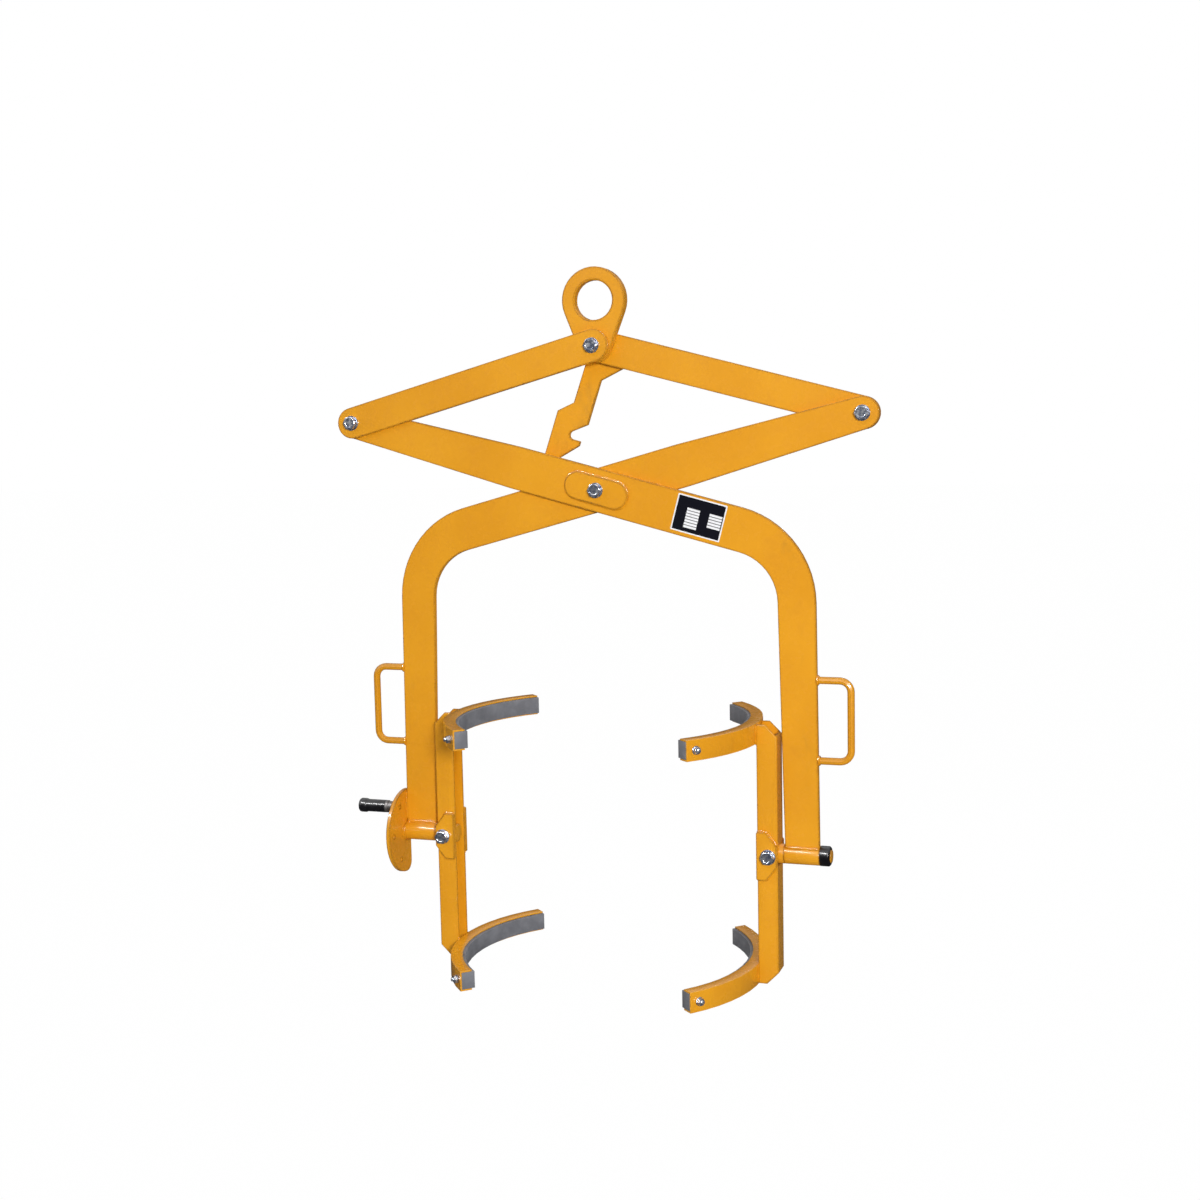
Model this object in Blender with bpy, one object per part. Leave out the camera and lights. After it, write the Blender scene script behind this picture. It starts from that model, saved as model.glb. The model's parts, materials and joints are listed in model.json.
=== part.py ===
"""Scissor lifter with two rocking clamps on turning shafts.

Metres, +Z up, X to the right, Y away from the viewer. The origin is the centre of the
suspension eye's hole. Pulling the eye up closes the two crossed arms and their shoes.
"""
import math

import bmesh
import bpy
from mathutils import Matrix, Vector

# Fits between pieces
CLEARANCE = 0.0003
RUNNING_GAP = 0.0015

# Linkage: four equal pitches, so the scissor stays a rhombus
LINK_PITCH = 0.536
REST_ANGLE = math.radians(15.1)
EYE_TO_TOP_PIVOT = 0.087
SHAFT_BELOW_CENTRE = 0.704
BAR_THICKNESS = 0.012
PLATE_CHAMFER = 0.0009

# Suspension eye
EYE_RADIUS = 0.064
EYE_HOLE_RADIUS = 0.038
EYE_HOLE_CHAMFER = 0.0025
EYE_NECK_RADIUS = 0.032
EYE_THICKNESS = 0.020
EYE_BOSS_RADIUS = 0.024

# Links and arms
LINK_END_RADIUS = 0.031
ARM_WIDTH = 0.084
ARM_TAPER_LENGTH = 0.360
LEG_BEHIND_CHANNEL = 0.0124
LEG_FOOT_WIDTH = 0.0665
LEG_INNER_LEAN = math.radians(1.28)
LEG_OUTER_LEAN = math.radians(0.52)
BEND_INNER_RADIUS = 0.100
BEND_OUTER_RADIUS = 0.190
DOUBLER_LENGTH = 0.132
DOUBLER_WIDTH = 0.055
DOUBLER_THICKNESS = 0.006

# Pivot fasteners
BOLT_RADIUS = 0.008
BOLT_HEAD_ACROSS = 0.024
BOLT_HEAD_HEIGHT = 0.010
BOLT_END = 0.003
WASHER_RADIUS = 0.0150
WASHER_THICKNESS = 0.003
NUT_HEIGHT = 0.013
LOCK_NUT_HEIGHT = 0.008

# Latch that hangs from the top pivot and hooks on the centre bolt's long end
LATCH_THICKNESS = 0.010
LATCH_PARK_ANGLE = math.radians(18.85)
LATCH_REACH = 0.182
LATCH_SEAT_RADIUS = 0.0086
LATCH_HEAD_RADIUS = 0.018
LATCH_BAR_LEFT = 0.019
LATCH_BAR_RIGHT = 0.0215
LATCH_SHOULDER_DROP = 0.1205
LATCH_SHOULDER_RISE = 0.025
LATCH_HEEL_LEFT = 0.0465
LATCH_TAIL = 0.0645
LATCH_TOE = 0.006
LATCH_LIP = 0.0165
LATCH_LIP_DEPTH = 0.0095
LATCH_MOUTH = 0.028
LATCH_EAR_X = 0.058
LATCH_EAR_DROP = 0.0277
LATCH_ARMPIT_DROP = 0.063
LATCH_CORNER = 0.0015

# Carrying handles of round bar
HANDLE_BAR_RADIUS = 0.007
HANDLE_PITCH = 0.155
HANDLE_REACH = 0.063
HANDLE_BEND = 0.021
HANDLE_BELOW_CENTRE = 0.440

# Bearing tubes and turning shafts
SHAFT_RADIUS = 0.0125
BUSH_WALL = 0.0029
TUBE_WALL = 0.003
SHAFT_HEAD_BACKSET = 0.004
TUBE_LEAD = 0.002
COLLAR_LENGTH = 0.020
COLLAR_RADIUS = 0.0195
COLLAR_CHAMFER = 0.003
SHAFT_STUB = 0.002

# Clamp channels and fork plates
CHANNEL_WIDTH = 0.050
CHANNEL_DEPTH = 0.040
CHANNEL_WALL = 0.004
CHANNEL_HALF_LENGTH = 0.255
CHANNEL_CHAMFER = 0.023
CLAMP_BOLT_INSET = 0.0235
FORK_THICKNESS = 0.010
FORK_INNER_HALF = 0.047
FORK_OUTER_HALF = 0.020
FORK_LAND = 0.019
FORK_CORNER = 0.002

# Shoes, linings and lining screws
GRIP_RADIUS = 0.286
LINING_THICKNESS = 0.0267
LINING_PROUD = 0.006
SHOE_WALL = 0.003
SHOE_HEIGHT = 0.040
SHOE_HALF_SPAN = math.radians(43)
SHOE_RISE = 0.237
SCREW_RADIUS = 0.004
SCREW_ACROSS = 0.013
SCREW_HEAD_HEIGHT = 0.0055
SCREW_BITE = 0.017
SCREW_END_ANGLE = math.radians(3.6)

# Index plate, crank lever and plunger on the left shaft
INDEX_RADIUS = 0.0865
INDEX_THICKNESS = 0.008
INDEX_FLAT = 0.0165
INDEX_LOWER_CORNER = 0.020
INDEX_UPPER_CORNER = 0.008
INDEX_PITCH_RADIUS = 0.064
INDEX_STEP = math.radians(60)
INDEX_HOLES = 3
INDEX_PIN_RADIUS = 0.0047
LEVER_THICKNESS = 0.006
LEVER_HUB_RADIUS = 0.021
LEVER_TIP_RADIUS = 0.0125
PLUNGER_TRAVEL = 0.0085
GUIDE_RADIUS = 0.0108
GUIDE_BORE_RADIUS = 0.0076
GUIDE_LENGTH = 0.046
GUIDE_END_WALL = 0.003
PIN_COLLAR_THICKNESS = 0.002
PIN_GRIP_DEPTH = 0.016
SPRING_WIRE_RADIUS = 0.0008
SPRING_TURNS = 4
SPRING_POINTS = 9
FERRULE_LENGTH = 0.0060
FERRULE_RADIUS = 0.0126
GRIP_BODY_RADIUS = 0.0128
GRIP_BULGE_RADIUS = 0.0144
GRIP_LENGTH = 0.0585
GRIP_BULGE_LENGTH = 0.018

# Places of the pivots in the X-Z plane, worked out from the linkage
HALF_SPREAD = LINK_PITCH * math.cos(REST_ANGLE)
HALF_RISE = LINK_PITCH * math.sin(REST_ANGLE)
TOP = Vector((0.0, -EYE_TO_TOP_PIVOT))
CENTRE = Vector((0.0, -EYE_TO_TOP_PIVOT - 2 * HALF_RISE))
LEFT = Vector((-HALF_SPREAD, -EYE_TO_TOP_PIVOT - HALF_RISE))
RIGHT = Vector((HALF_SPREAD, -EYE_TO_TOP_PIVOT - HALF_RISE))
SHAFT_Z = CENTRE.y - SHAFT_BELOW_CENTRE

# Layers along Y, counted outward from the plane between the two arms
ARM_NEAR = CLEARANCE / 2
ARM_FAR = ARM_NEAR + BAR_THICKNESS
LINK_NEAR = ARM_FAR + CLEARANCE
LINK_FAR = LINK_NEAR + BAR_THICKNESS
DOUBLER_FAR = LINK_NEAR + DOUBLER_THICKNESS
LOCK_NUT_NEAR = DOUBLER_FAR + CLEARANCE
LOCK_NUT_FAR = LOCK_NUT_NEAR + LOCK_NUT_HEIGHT
LATCH_NEAR = max(LOCK_NUT_FAR, LINK_FAR + WASHER_THICKNESS / 2) + 2 * CLEARANCE
LATCH_FAR = LATCH_NEAR + LATCH_THICKNESS
HOLE_RADIUS = BOLT_RADIUS + CLEARANCE

# Places across each clamp, measured outward from the centre plane
SHOE_OUTER_RADIUS = GRIP_RADIUS + LINING_THICKNESS + CLEARANCE + SHOE_WALL
SHOE_INNER_RADIUS = GRIP_RADIUS + LINING_PROUD
CHANNEL_INNER = math.sqrt(SHOE_OUTER_RADIUS ** 2 - (CHANNEL_WIDTH / 2 - CHANNEL_WALL) ** 2) + CLEARANCE
CHANNEL_OUTER = CHANNEL_INNER + CHANNEL_DEPTH
LEG_INNER_OFFSET = CHANNEL_OUTER + LEG_BEHIND_CHANNEL
LEG_OUTER_OFFSET = LEG_INNER_OFFSET + LEG_FOOT_WIDTH
CLAMP_BOLT_OFFSET = CHANNEL_INNER + CLAMP_BOLT_INSET
BUSH_INNER_RADIUS = SHAFT_RADIUS + CLEARANCE
BUSH_OUTER_RADIUS = BUSH_INNER_RADIUS + BUSH_WALL
TUBE_INNER_RADIUS = BUSH_OUTER_RADIUS + CLEARANCE
TUBE_RADIUS = TUBE_INNER_RADIUS + TUBE_WALL
TUBE_START = LEG_INNER_OFFSET - TUBE_LEAD
TUBE_END = LEG_OUTER_OFFSET
INDEX_START = TUBE_END + CLEARANCE
INDEX_END = INDEX_START + INDEX_THICKNESS
LEVER_START = INDEX_END + RUNNING_GAP
LEVER_END = LEVER_START + LEVER_THICKNESS
GUIDE_START = LEVER_END + CLEARANCE
GUIDE_END = GUIDE_START + GUIDE_LENGTH
PLUNGER_AXIS = (-INDEX_PITCH_RADIUS * math.cos(INDEX_STEP), INDEX_PITCH_RADIUS * math.sin(INDEX_STEP))
PIN_BORE_RADIUS = INDEX_PIN_RADIUS + CLEARANCE

# Smoothness of arcs and turned pieces
ARC_SAG = 0.00025
LARGEST_ARC_STEP = math.radians(20)
ROUND = 18
LARGE_ROUND = 30


def clear_scene():
    for thing in list(bpy.data.objects):
        bpy.data.objects.remove(thing, do_unlink=True)


def make_material(name, colour, roughness, metallic):
    material = bpy.data.materials.new(name)
    material.use_nodes = True
    shader = material.node_tree.nodes["Principled BSDF"]
    shader.inputs["Base Color"].default_value = (*colour, 1.0)
    shader.inputs["Roughness"].default_value = roughness
    shader.inputs["Metallic"].default_value = metallic
    return material


clear_scene()
PAINT = make_material("orange_paint", (0.80, 0.36, 0.03), 0.35, 0.0)
ZINC = make_material("zinc_plate", (0.62, 0.64, 0.68), 0.30, 1.0)
RUBBER = make_material("grey_rubber", (0.15, 0.15, 0.17), 0.80, 0.0)
PLASTIC = make_material("black_plastic", (0.015, 0.015, 0.018), 0.40, 0.0)
PHOSPHATE = make_material("phosphated_steel", (0.16, 0.15, 0.145), 0.45, 0.8)
BRONZE = make_material("bronze", (0.60, 0.40, 0.18), 0.35, 1.0)
STEEL = make_material("bright_steel", (0.55, 0.55, 0.56), 0.30, 1.0)


def pivot(name, place, parent=None):
    """Empty on a joint's axis; its children turn or slide with it."""
    empty = bpy.data.objects.new(name, None)
    bpy.context.collection.objects.link(empty)
    empty.parent = parent
    empty["place"] = place
    empty.location = Vector(place) - Vector(parent["place"]) if parent else Vector(place)
    return empty


def hang(thing, empty):
    """Give a piece the pivot's origin without moving its shape."""
    shift = Matrix.Translation(-Vector(empty["place"]))
    thing.data.transform(shift)
    thing.parent = empty
    return thing


def finish(name, bm, material, smooth_degrees=35):
    bmesh.ops.recalc_face_normals(bm, faces=bm.faces)
    mesh = bpy.data.meshes.new(name)
    bm.to_mesh(mesh)
    bm.free()
    mesh.materials.append(material)
    mesh.shade_smooth()
    mesh.set_sharp_from_angle(angle=math.radians(smooth_degrees))
    thing = bpy.data.objects.new(name, mesh)
    bpy.context.collection.objects.link(thing)
    return thing


def cutter(thing):
    thing.hide_render = True
    thing.display_type = "WIRE"
    return thing


def boolean(thing, tool, operation="DIFFERENCE"):
    modifier = thing.modifiers.new(tool.name, "BOOLEAN")
    modifier.operation = operation
    modifier.solver = "EXACT"
    modifier.object = tool
    return thing


def on_axis(axis, along, across, up):
    """Point at a distance along X or Y; the other two values lie across that axis."""
    if axis == "X":
        return Vector((along, across, up))
    return Vector((across, along, up))


def circle(centre, radius, count=ROUND):
    turn = 2 * math.pi / count
    return [(centre[0] + radius * math.cos(i * turn), centre[1] + radius * math.sin(i * turn))
            for i in range(count)]


def arc(centre, radius, start, end):
    step = min(LARGEST_ARC_STEP, 2 * math.acos(1 - ARC_SAG / radius))
    count = max(2, math.ceil(abs(end - start) / step))
    angles = [start + (end - start) * i / count for i in range(count + 1)]
    return [(centre[0] + radius * math.cos(a), centre[1] + radius * math.sin(a)) for a in angles]


def rounded(corners):
    """Outline through (x, z, radius) corners, each turned by an arc of its radius."""
    outline = []
    for i, (x, z, radius) in enumerate(corners):
        here = Vector((x, z))
        if radius <= 0:
            outline.append((x, z))
            continue
        back = (Vector(corners[i - 1][:2]) - here).normalized()
        ahead = (Vector(corners[(i + 1) % len(corners)][:2]) - here).normalized()
        half = back.angle(ahead) / 2
        centre = here + (back + ahead).normalized() * (radius / math.sin(half))
        first = here + back * (radius / math.tan(half)) - centre
        last = here + ahead * (radius / math.tan(half)) - centre
        start = math.atan2(first.y, first.x)
        turn = math.atan2(first.x * last.y - first.y * last.x, first.dot(last))
        outline += arc(centre, radius, start, start + turn)
    return outline


def belt(first, first_radius, second, second_radius):
    """Outline of a belt round two circles, counter-clockwise."""
    first, second = Vector(first), Vector(second)
    reach = second - first
    heading = math.atan2(reach.y, reach.x)
    tilt = math.acos((first_radius - second_radius) / reach.length)
    back = arc(first, first_radius, heading + tilt, heading + 2 * math.pi - tilt)
    front = arc(second, second_radius, heading - tilt, heading + tilt)
    return back + front


def tangent(point, centre, radius, side):
    """Where a line from a point touches a circle; side is +1 or -1."""
    reach = Vector(point) - Vector(centre)
    swing = math.acos(radius / reach.length)
    angle = math.atan2(reach.y, reach.x) + side * swing
    return angle


def on_circle(centre, radius, angle):
    return centre[0] + radius * math.cos(angle), centre[1] + radius * math.sin(angle)


def crossing(point_a, way_a, point_b, way_b):
    """Where two lines meet, each given by a point and a direction."""
    scale = way_a.x * way_b.y - way_a.y * way_b.x
    gap = point_b - point_a
    return point_a + way_a * ((gap.x * way_b.y - gap.y * way_b.x) / scale)


def area_sign(outline):
    total = sum(a[0] * b[1] - b[0] * a[1] for a, b in zip(outline, outline[1:] + outline[:1]))
    return 1 if total > 0 else -1


def inset(outline, depth):
    """The same outline moved inward by a small depth, corner by corner."""
    sign = area_sign(outline)
    moved = []
    for i, point in enumerate(outline):
        here = Vector(point)
        before = (here - Vector(outline[i - 1])).normalized()
        after = (Vector(outline[(i + 1) % len(outline)]) - here).normalized()
        normal_a = Vector((-before.y, before.x)) * sign
        normal_b = Vector((-after.y, after.x)) * sign
        step = (normal_a + normal_b) / (1 + normal_a.dot(normal_b))
        moved.append(tuple(here + step * depth))
    return moved


def tidy(outline):
    """Drop points that fall on the one before, such as where an arc meets a line."""
    kept = []
    for point in outline:
        if not kept or (Vector(point) - Vector(kept[-1])).length > 1e-5:
            kept.append(tuple(point))
    if (Vector(kept[0]) - Vector(kept[-1])).length < 1e-5:
        kept.pop()
    return kept


def bridge(bm, rings, closed):
    pairs = list(zip(rings, rings[1:]))
    if closed:
        pairs.append((rings[-1], rings[0]))
    for low, high in pairs:
        count = len(low)
        for i in range(count):
            j = (i + 1) % count
            bm.faces.new((low[i], low[j], high[j], high[i]))


def plate(name, outline, holes, low, high, material, axis="Y", chamfer=PLATE_CHAMFER):
    """Flat plate with chamfered edges. holes are (x, z, radius, chamfer)."""
    outline = tidy(outline)
    bm = bmesh.new()
    edges_of = {low: [], high: []}

    def ring(points, level):
        return [bm.verts.new(on_axis(axis, level, a, b)) for a, b in points]

    def wall(edge_outline, face_outline, depth):
        levels = [(face_outline, low), (edge_outline, low + depth),
                  (edge_outline, high - depth), (face_outline, high)]
        if depth == 0:
            levels = [(edge_outline, low), (edge_outline, high)]
        rings = [ring(points, level) for points, level in levels]
        bridge(bm, rings, closed=False)
        for level, loop in ((low, rings[0]), (high, rings[-1])):
            edges_of[level] += [bm.edges.get((a, b)) for a, b in zip(loop, loop[1:] + loop[:1])]

    wall(outline, inset(outline, chamfer), chamfer)
    for x, z, radius, hole_chamfer in holes:
        count = LARGE_ROUND if radius > WASHER_RADIUS else ROUND
        wall(circle((x, z), radius, count), circle((x, z), radius + hole_chamfer, count), hole_chamfer)
    for level in (low, high):
        bmesh.ops.triangle_fill(bm, edges=edges_of[level], use_beauty=True,
                                normal=on_axis(axis, 1.0, 0.0, 0.0))
    return finish(name, bm, material)


def hexagon(across):
    """Radius of a hexagon in each direction, with corners at every sixty degrees from zero."""
    def radius(angle):
        return across / 2 / math.cos((angle + 1e-6) % (math.pi / 3) - math.pi / 6)
    return radius


def turned(name, profile, material, axis="Y", centre=(0.0, 0.0), count=ROUND, bored=False):
    """Solid of sections along an axis. profile is (distance, radius or hexagon)."""
    bm = bmesh.new()
    rings = []
    for along, radius in profile:
        loop = []
        for i in range(count):
            angle = 2 * math.pi * i / count
            reach = radius(angle) if callable(radius) else radius
            across = centre[0] + reach * math.cos(angle)
            up = centre[1] + reach * math.sin(angle)
            loop.append(bm.verts.new(on_axis(axis, along, across, up)))
        rings.append(loop)
    bridge(bm, rings, closed=bored)
    if not bored:
        bm.faces.new(rings[0])
        bm.faces.new(list(reversed(rings[-1])))
    return finish(name, bm, material)


def head_sections(seat, way, washer_radius, washer, across, height):
    """Sections of a washer and a hexagon standing on it, from the seat outward."""
    edge = 0.12 * height
    return [(seat, washer_radius), (seat + way * washer, washer_radius),
            (seat + way * washer, hexagon(across)),
            (seat + way * (washer + height - edge), hexagon(across)),
            (seat + way * (washer + height), 0.46 * across)]


def hex_bolt(name, place, seat, tip, along_axis="Y"):
    """Bolt with its head towards the viewer; seat is where its washer bears."""
    head = head_sections(seat, -1, WASHER_RADIUS, WASHER_THICKNESS, BOLT_HEAD_ACROSS, BOLT_HEAD_HEIGHT)
    chamfer = BOLT_RADIUS / 6
    shank = [(tip, BOLT_RADIUS - chamfer), (tip - chamfer, BOLT_RADIUS), (seat, BOLT_RADIUS)]
    return turned(name, shank + head, ZINC, along_axis, place)


def hex_nut(name, place, seat, height, washer=WASHER_THICKNESS):
    """Nut on the far side with its washer."""
    outside = head_sections(seat, 1, WASHER_RADIUS, washer, BOLT_HEAD_ACROSS, height)
    if washer == 0:
        outside = [(seat, 0.46 * BOLT_HEAD_ACROSS), (seat + 0.12 * height, hexagon(BOLT_HEAD_ACROSS))]
        outside += head_sections(seat, 1, WASHER_RADIUS, washer, BOLT_HEAD_ACROSS, height)[3:]
    inside = [(seat + washer + height, HOLE_RADIUS), (seat, HOLE_RADIUS)]
    return turned(name, outside + inside, ZINC, "Y", place, bored=True)


def bar_sweep(name, points, radius, material, sides):
    """Round bar along a line of points, with flat ends."""
    curve = bpy.data.curves.new(name, "CURVE")
    curve.dimensions = "3D"
    curve.bevel_depth = radius
    curve.bevel_resolution = sides
    curve.use_fill_caps = True
    curve.render_resolution_u = 0
    spline = curve.splines.new("POLY")
    spline.points.add(len(points) - 1)
    for slot, point in zip(spline.points, points):
        slot.co = (*point, 1.0)
    curve.materials.append(material)
    bar = bpy.data.objects.new(name, curve)
    bpy.context.collection.objects.link(bar)
    return bar


def arm_outline(way):
    """Crossed arm about the centre pivot; way is +1 where the leg is on the right."""
    beam = Vector((math.cos(REST_ANGLE), -math.sin(REST_ANGLE)))
    normal = Vector((-beam.y, beam.x))
    end = -beam * LINK_PITCH
    upper = end + beam * ARM_TAPER_LENGTH + normal * (ARM_WIDTH / 2)
    lower = end + beam * ARM_TAPER_LENGTH - normal * (ARM_WIDTH / 2)
    outer_foot = Vector((LEG_OUTER_OFFSET, -SHAFT_BELOW_CENTRE))
    inner_foot = Vector((LEG_INNER_OFFSET, -SHAFT_BELOW_CENTRE))
    outer_way = Vector((-math.tan(LEG_OUTER_LEAN), 1.0))
    inner_way = Vector((-math.tan(LEG_INNER_LEAN), 1.0))
    outer_corner = crossing(upper, beam, outer_foot, outer_way)
    inner_corner = crossing(lower, beam, inner_foot, inner_way)
    bend = rounded([(*upper, 0), (*outer_corner, BEND_OUTER_RADIUS), (*outer_foot, 0),
                    (*inner_foot, 0), (*inner_corner, BEND_INNER_RADIUS), (*lower, 0)])
    low_angle = tangent(lower, end, LINK_END_RADIUS, -1)
    high_angle = tangent(upper, end, LINK_END_RADIUS, 1)
    nose = arc(end, LINK_END_RADIUS, low_angle, high_angle - 2 * math.pi)
    outline = bend + nose
    return [(way * x, CENTRE.y + z) for x, z in outline]


def latch_outline():
    """Latch in its hooked place below the top pivot, before it is parked aside."""
    hub = (0.0, 0.0)
    seat = Vector((0.0, -LATCH_REACH))
    heel = seat.y - LATCH_TAIL
    shoulder = (-LATCH_BAR_LEFT, -LATCH_SHOULDER_DROP)
    ear = (LATCH_EAR_X, -LATCH_EAR_DROP)
    mouth = Vector((LATCH_BAR_RIGHT, seat.y + LATCH_MOUTH))
    tip = Vector((LATCH_LIP, seat.y - 0.9 * LATCH_SEAT_RADIUS))
    upper_touch = Vector(on_circle(seat, LATCH_SEAT_RADIUS, tangent(mouth, seat, LATCH_SEAT_RADIUS, 1)))
    lower_touch = Vector(on_circle(seat, LATCH_SEAT_RADIUS, tangent(tip, seat, LATCH_SEAT_RADIUS, -1)))
    throat = crossing(mouth, upper_touch - mouth, tip, lower_touch - tip)
    bar_side = tangent(shoulder, hub, LATCH_HEAD_RADIUS, -1)
    ear_side = tangent(ear, hub, LATCH_HEAD_RADIUS, 1)
    corner = LATCH_CORNER
    body = rounded([
        (*on_circle(hub, LATCH_HEAD_RADIUS, bar_side), 0),
        (*shoulder, corner),
        (-LATCH_HEEL_LEFT, shoulder[1] - LATCH_SHOULDER_RISE, corner),
        (-LATCH_HEEL_LEFT, heel, 3 * corner),
        (-0.7 * LATCH_HEEL_LEFT, heel - LATCH_TOE, 3 * corner),
        (LATCH_LIP, tip.y - LATCH_LIP_DEPTH, corner),
        (*tip, corner),
        (*throat, LATCH_SEAT_RADIUS),
        (*mouth, corner),
        (LATCH_BAR_RIGHT, -LATCH_ARMPIT_DROP, corner),
        (*ear, 2 * corner),
        (*on_circle(hub, LATCH_HEAD_RADIUS, ear_side), 0),
    ])
    head = arc(hub, LATCH_HEAD_RADIUS, ear_side, bar_side + 2 * math.pi)
    park = Matrix.Rotation(-LATCH_PARK_ANGLE, 2)
    return [tuple(TOP + park @ Vector(point)) for point in body + head]


def pivot_holes(*places):
    return [(*place, HOLE_RADIUS, 0) for place in places]


# Empties on the joints' axes
eye_pivot = pivot("eye_centre", (0.0, 0.0, 0.0))
left_link_pivot = pivot("left_link_pivot", (TOP.x, 0.0, TOP.y), eye_pivot)
right_link_pivot = pivot("right_link_pivot", (TOP.x, 0.0, TOP.y), eye_pivot)
latch_pivot = pivot("latch_pivot", (TOP.x, 0.0, TOP.y), eye_pivot)
front_arm_pivot = pivot("front_arm_pivot", (LEFT.x, 0.0, LEFT.y), left_link_pivot)
rear_arm_pivot = pivot("rear_arm_pivot", (CENTRE.x, 0.0, CENTRE.y), front_arm_pivot)


def make_eye():
    outline = belt((0.0, 0.0), EYE_RADIUS, TOP, EYE_NECK_RADIUS)
    holes = [(0.0, 0.0, EYE_HOLE_RADIUS, EYE_HOLE_CHAMFER)]
    eye = plate("suspension_eye", outline, holes, -EYE_THICKNESS / 2, EYE_THICKNESS / 2, PAINT,
                chamfer=2 * PLATE_CHAMFER)
    face = LINK_NEAR - CLEARANCE
    boss = [(-face, EYE_BOSS_RADIUS), (face, EYE_BOSS_RADIUS)]
    bore = [(-face - CLEARANCE, HOLE_RADIUS), (face + CLEARANCE, HOLE_RADIUS)]
    boolean(eye, cutter(turned("eye_boss", boss, PAINT, "Y", TOP)), "UNION")
    boolean(eye, cutter(turned("eye_bore", bore, PAINT, "Y", TOP)))
    hang(eye, eye_pivot)


def make_links():
    for name, far_end, way, empty in (("left_link", LEFT, -1, left_link_pivot),
                                      ("right_link", RIGHT, 1, right_link_pivot)):
        outline = belt(TOP, LINK_END_RADIUS, far_end, LINK_END_RADIUS)
        layer = sorted((way * LINK_NEAR, way * LINK_FAR))
        hang(plate(name, outline, pivot_holes(TOP, far_end), *layer, PAINT), empty)


def make_arms():
    for name, far_end, way, empty in (("front_arm", LEFT, 1, front_arm_pivot),
                                      ("rear_arm", RIGHT, -1, rear_arm_pivot)):
        layer = sorted((-way * ARM_NEAR, -way * ARM_FAR))
        arm = plate(name, arm_outline(way), pivot_holes(far_end, CENTRE), *layer, PAINT)
        reach = LEG_OUTER_OFFSET + 2 * PLATE_CHAMFER
        saddle = [(way * (LEG_INNER_OFFSET - 0.01), TUBE_RADIUS + CLEARANCE),
                  (way * (reach + 0.01), TUBE_RADIUS + CLEARANCE)]
        tool = turned(name + "_saddle", saddle, PAINT, "X", (0.0, SHAFT_Z), LARGE_ROUND)
        boolean(arm, cutter(tool))
        hang(arm, empty)


def make_doublers():
    beam = Vector((math.cos(REST_ANGLE), -math.sin(REST_ANGLE)))
    half = beam * (DOUBLER_LENGTH - DOUBLER_WIDTH) / 2
    for name, way, empty in (("front_doubler", 1, front_arm_pivot), ("rear_doubler", -1, rear_arm_pivot)):
        reach = Vector((way * half.x, half.y))
        outline = belt(CENTRE - reach, DOUBLER_WIDTH / 2, CENTRE + reach, DOUBLER_WIDTH / 2)
        layer = sorted((-way * LINK_NEAR, -way * DOUBLER_FAR))
        hang(plate(name, outline, pivot_holes(CENTRE), *layer, PAINT, chamfer=2 * PLATE_CHAMFER), empty)


def make_latch():
    hang(plate("latch_hook", latch_outline(), pivot_holes(TOP), LATCH_NEAR, LATCH_FAR, PAINT), latch_pivot)
    ring = [(LINK_FAR + CLEARANCE, WASHER_RADIUS), (LATCH_NEAR - CLEARANCE, WASHER_RADIUS),
            (LATCH_NEAR - CLEARANCE, HOLE_RADIUS), (LINK_FAR + CLEARANCE, HOLE_RADIUS)]
    hang(turned("latch_washer", ring, ZINC, "Y", TOP, bored=True), eye_pivot)


def make_pivot_fasteners():
    stacks = (
        ("top", TOP, -LINK_FAR, LATCH_FAR, eye_pivot, eye_pivot),
        ("left", LEFT, -LINK_FAR, -ARM_NEAR, left_link_pivot, left_link_pivot),
        ("right", RIGHT, ARM_NEAR, LINK_FAR, rear_arm_pivot, rear_arm_pivot),
    )
    for name, place, near, far, bolt_empty, nut_empty in stacks:
        seat = far + CLEARANCE
        tip = seat + WASHER_THICKNESS + NUT_HEIGHT + BOLT_END
        hang(hex_bolt(name + "_bolt", place, near - CLEARANCE, tip), bolt_empty)
        hang(hex_nut(name + "_nut", place, seat, NUT_HEIGHT), nut_empty)
    tip = LATCH_FAR + BOLT_END
    hang(hex_bolt("centre_bolt", CENTRE, -DOUBLER_FAR - CLEARANCE, tip), front_arm_pivot)
    hang(hex_nut("centre_nut", CENTRE, LOCK_NUT_NEAR, LOCK_NUT_HEIGHT, washer=0), front_arm_pivot)


def make_handles():
    height = CENTRE.y - HANDLE_BELOW_CENTRE
    for name, way, empty in (("right_handle", 1, front_arm_pivot), ("left_handle", -1, rear_arm_pivot)):
        layer = -way * (ARM_NEAR + ARM_FAR) / 2

        def edge(z):
            return LEG_OUTER_OFFSET - (z - SHAFT_Z) * math.tan(LEG_OUTER_LEAN) + CLEARANCE

        top, bottom = height + HANDLE_PITCH / 2, height - HANDLE_PITCH / 2
        reach = edge(height) + HANDLE_REACH
        path = [(edge(top), top)]
        path += arc((reach - HANDLE_BEND, top - HANDLE_BEND), HANDLE_BEND, math.pi / 2, 0.0)
        path += arc((reach - HANDLE_BEND, bottom + HANDLE_BEND), HANDLE_BEND, 0.0, -math.pi / 2)
        path.append((edge(bottom), bottom))
        points = [Vector((way * x, layer, z)) for x, z in path]
        hang(bar_sweep(name, points, HANDLE_BAR_RADIUS, PAINT, 3), empty)


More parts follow.
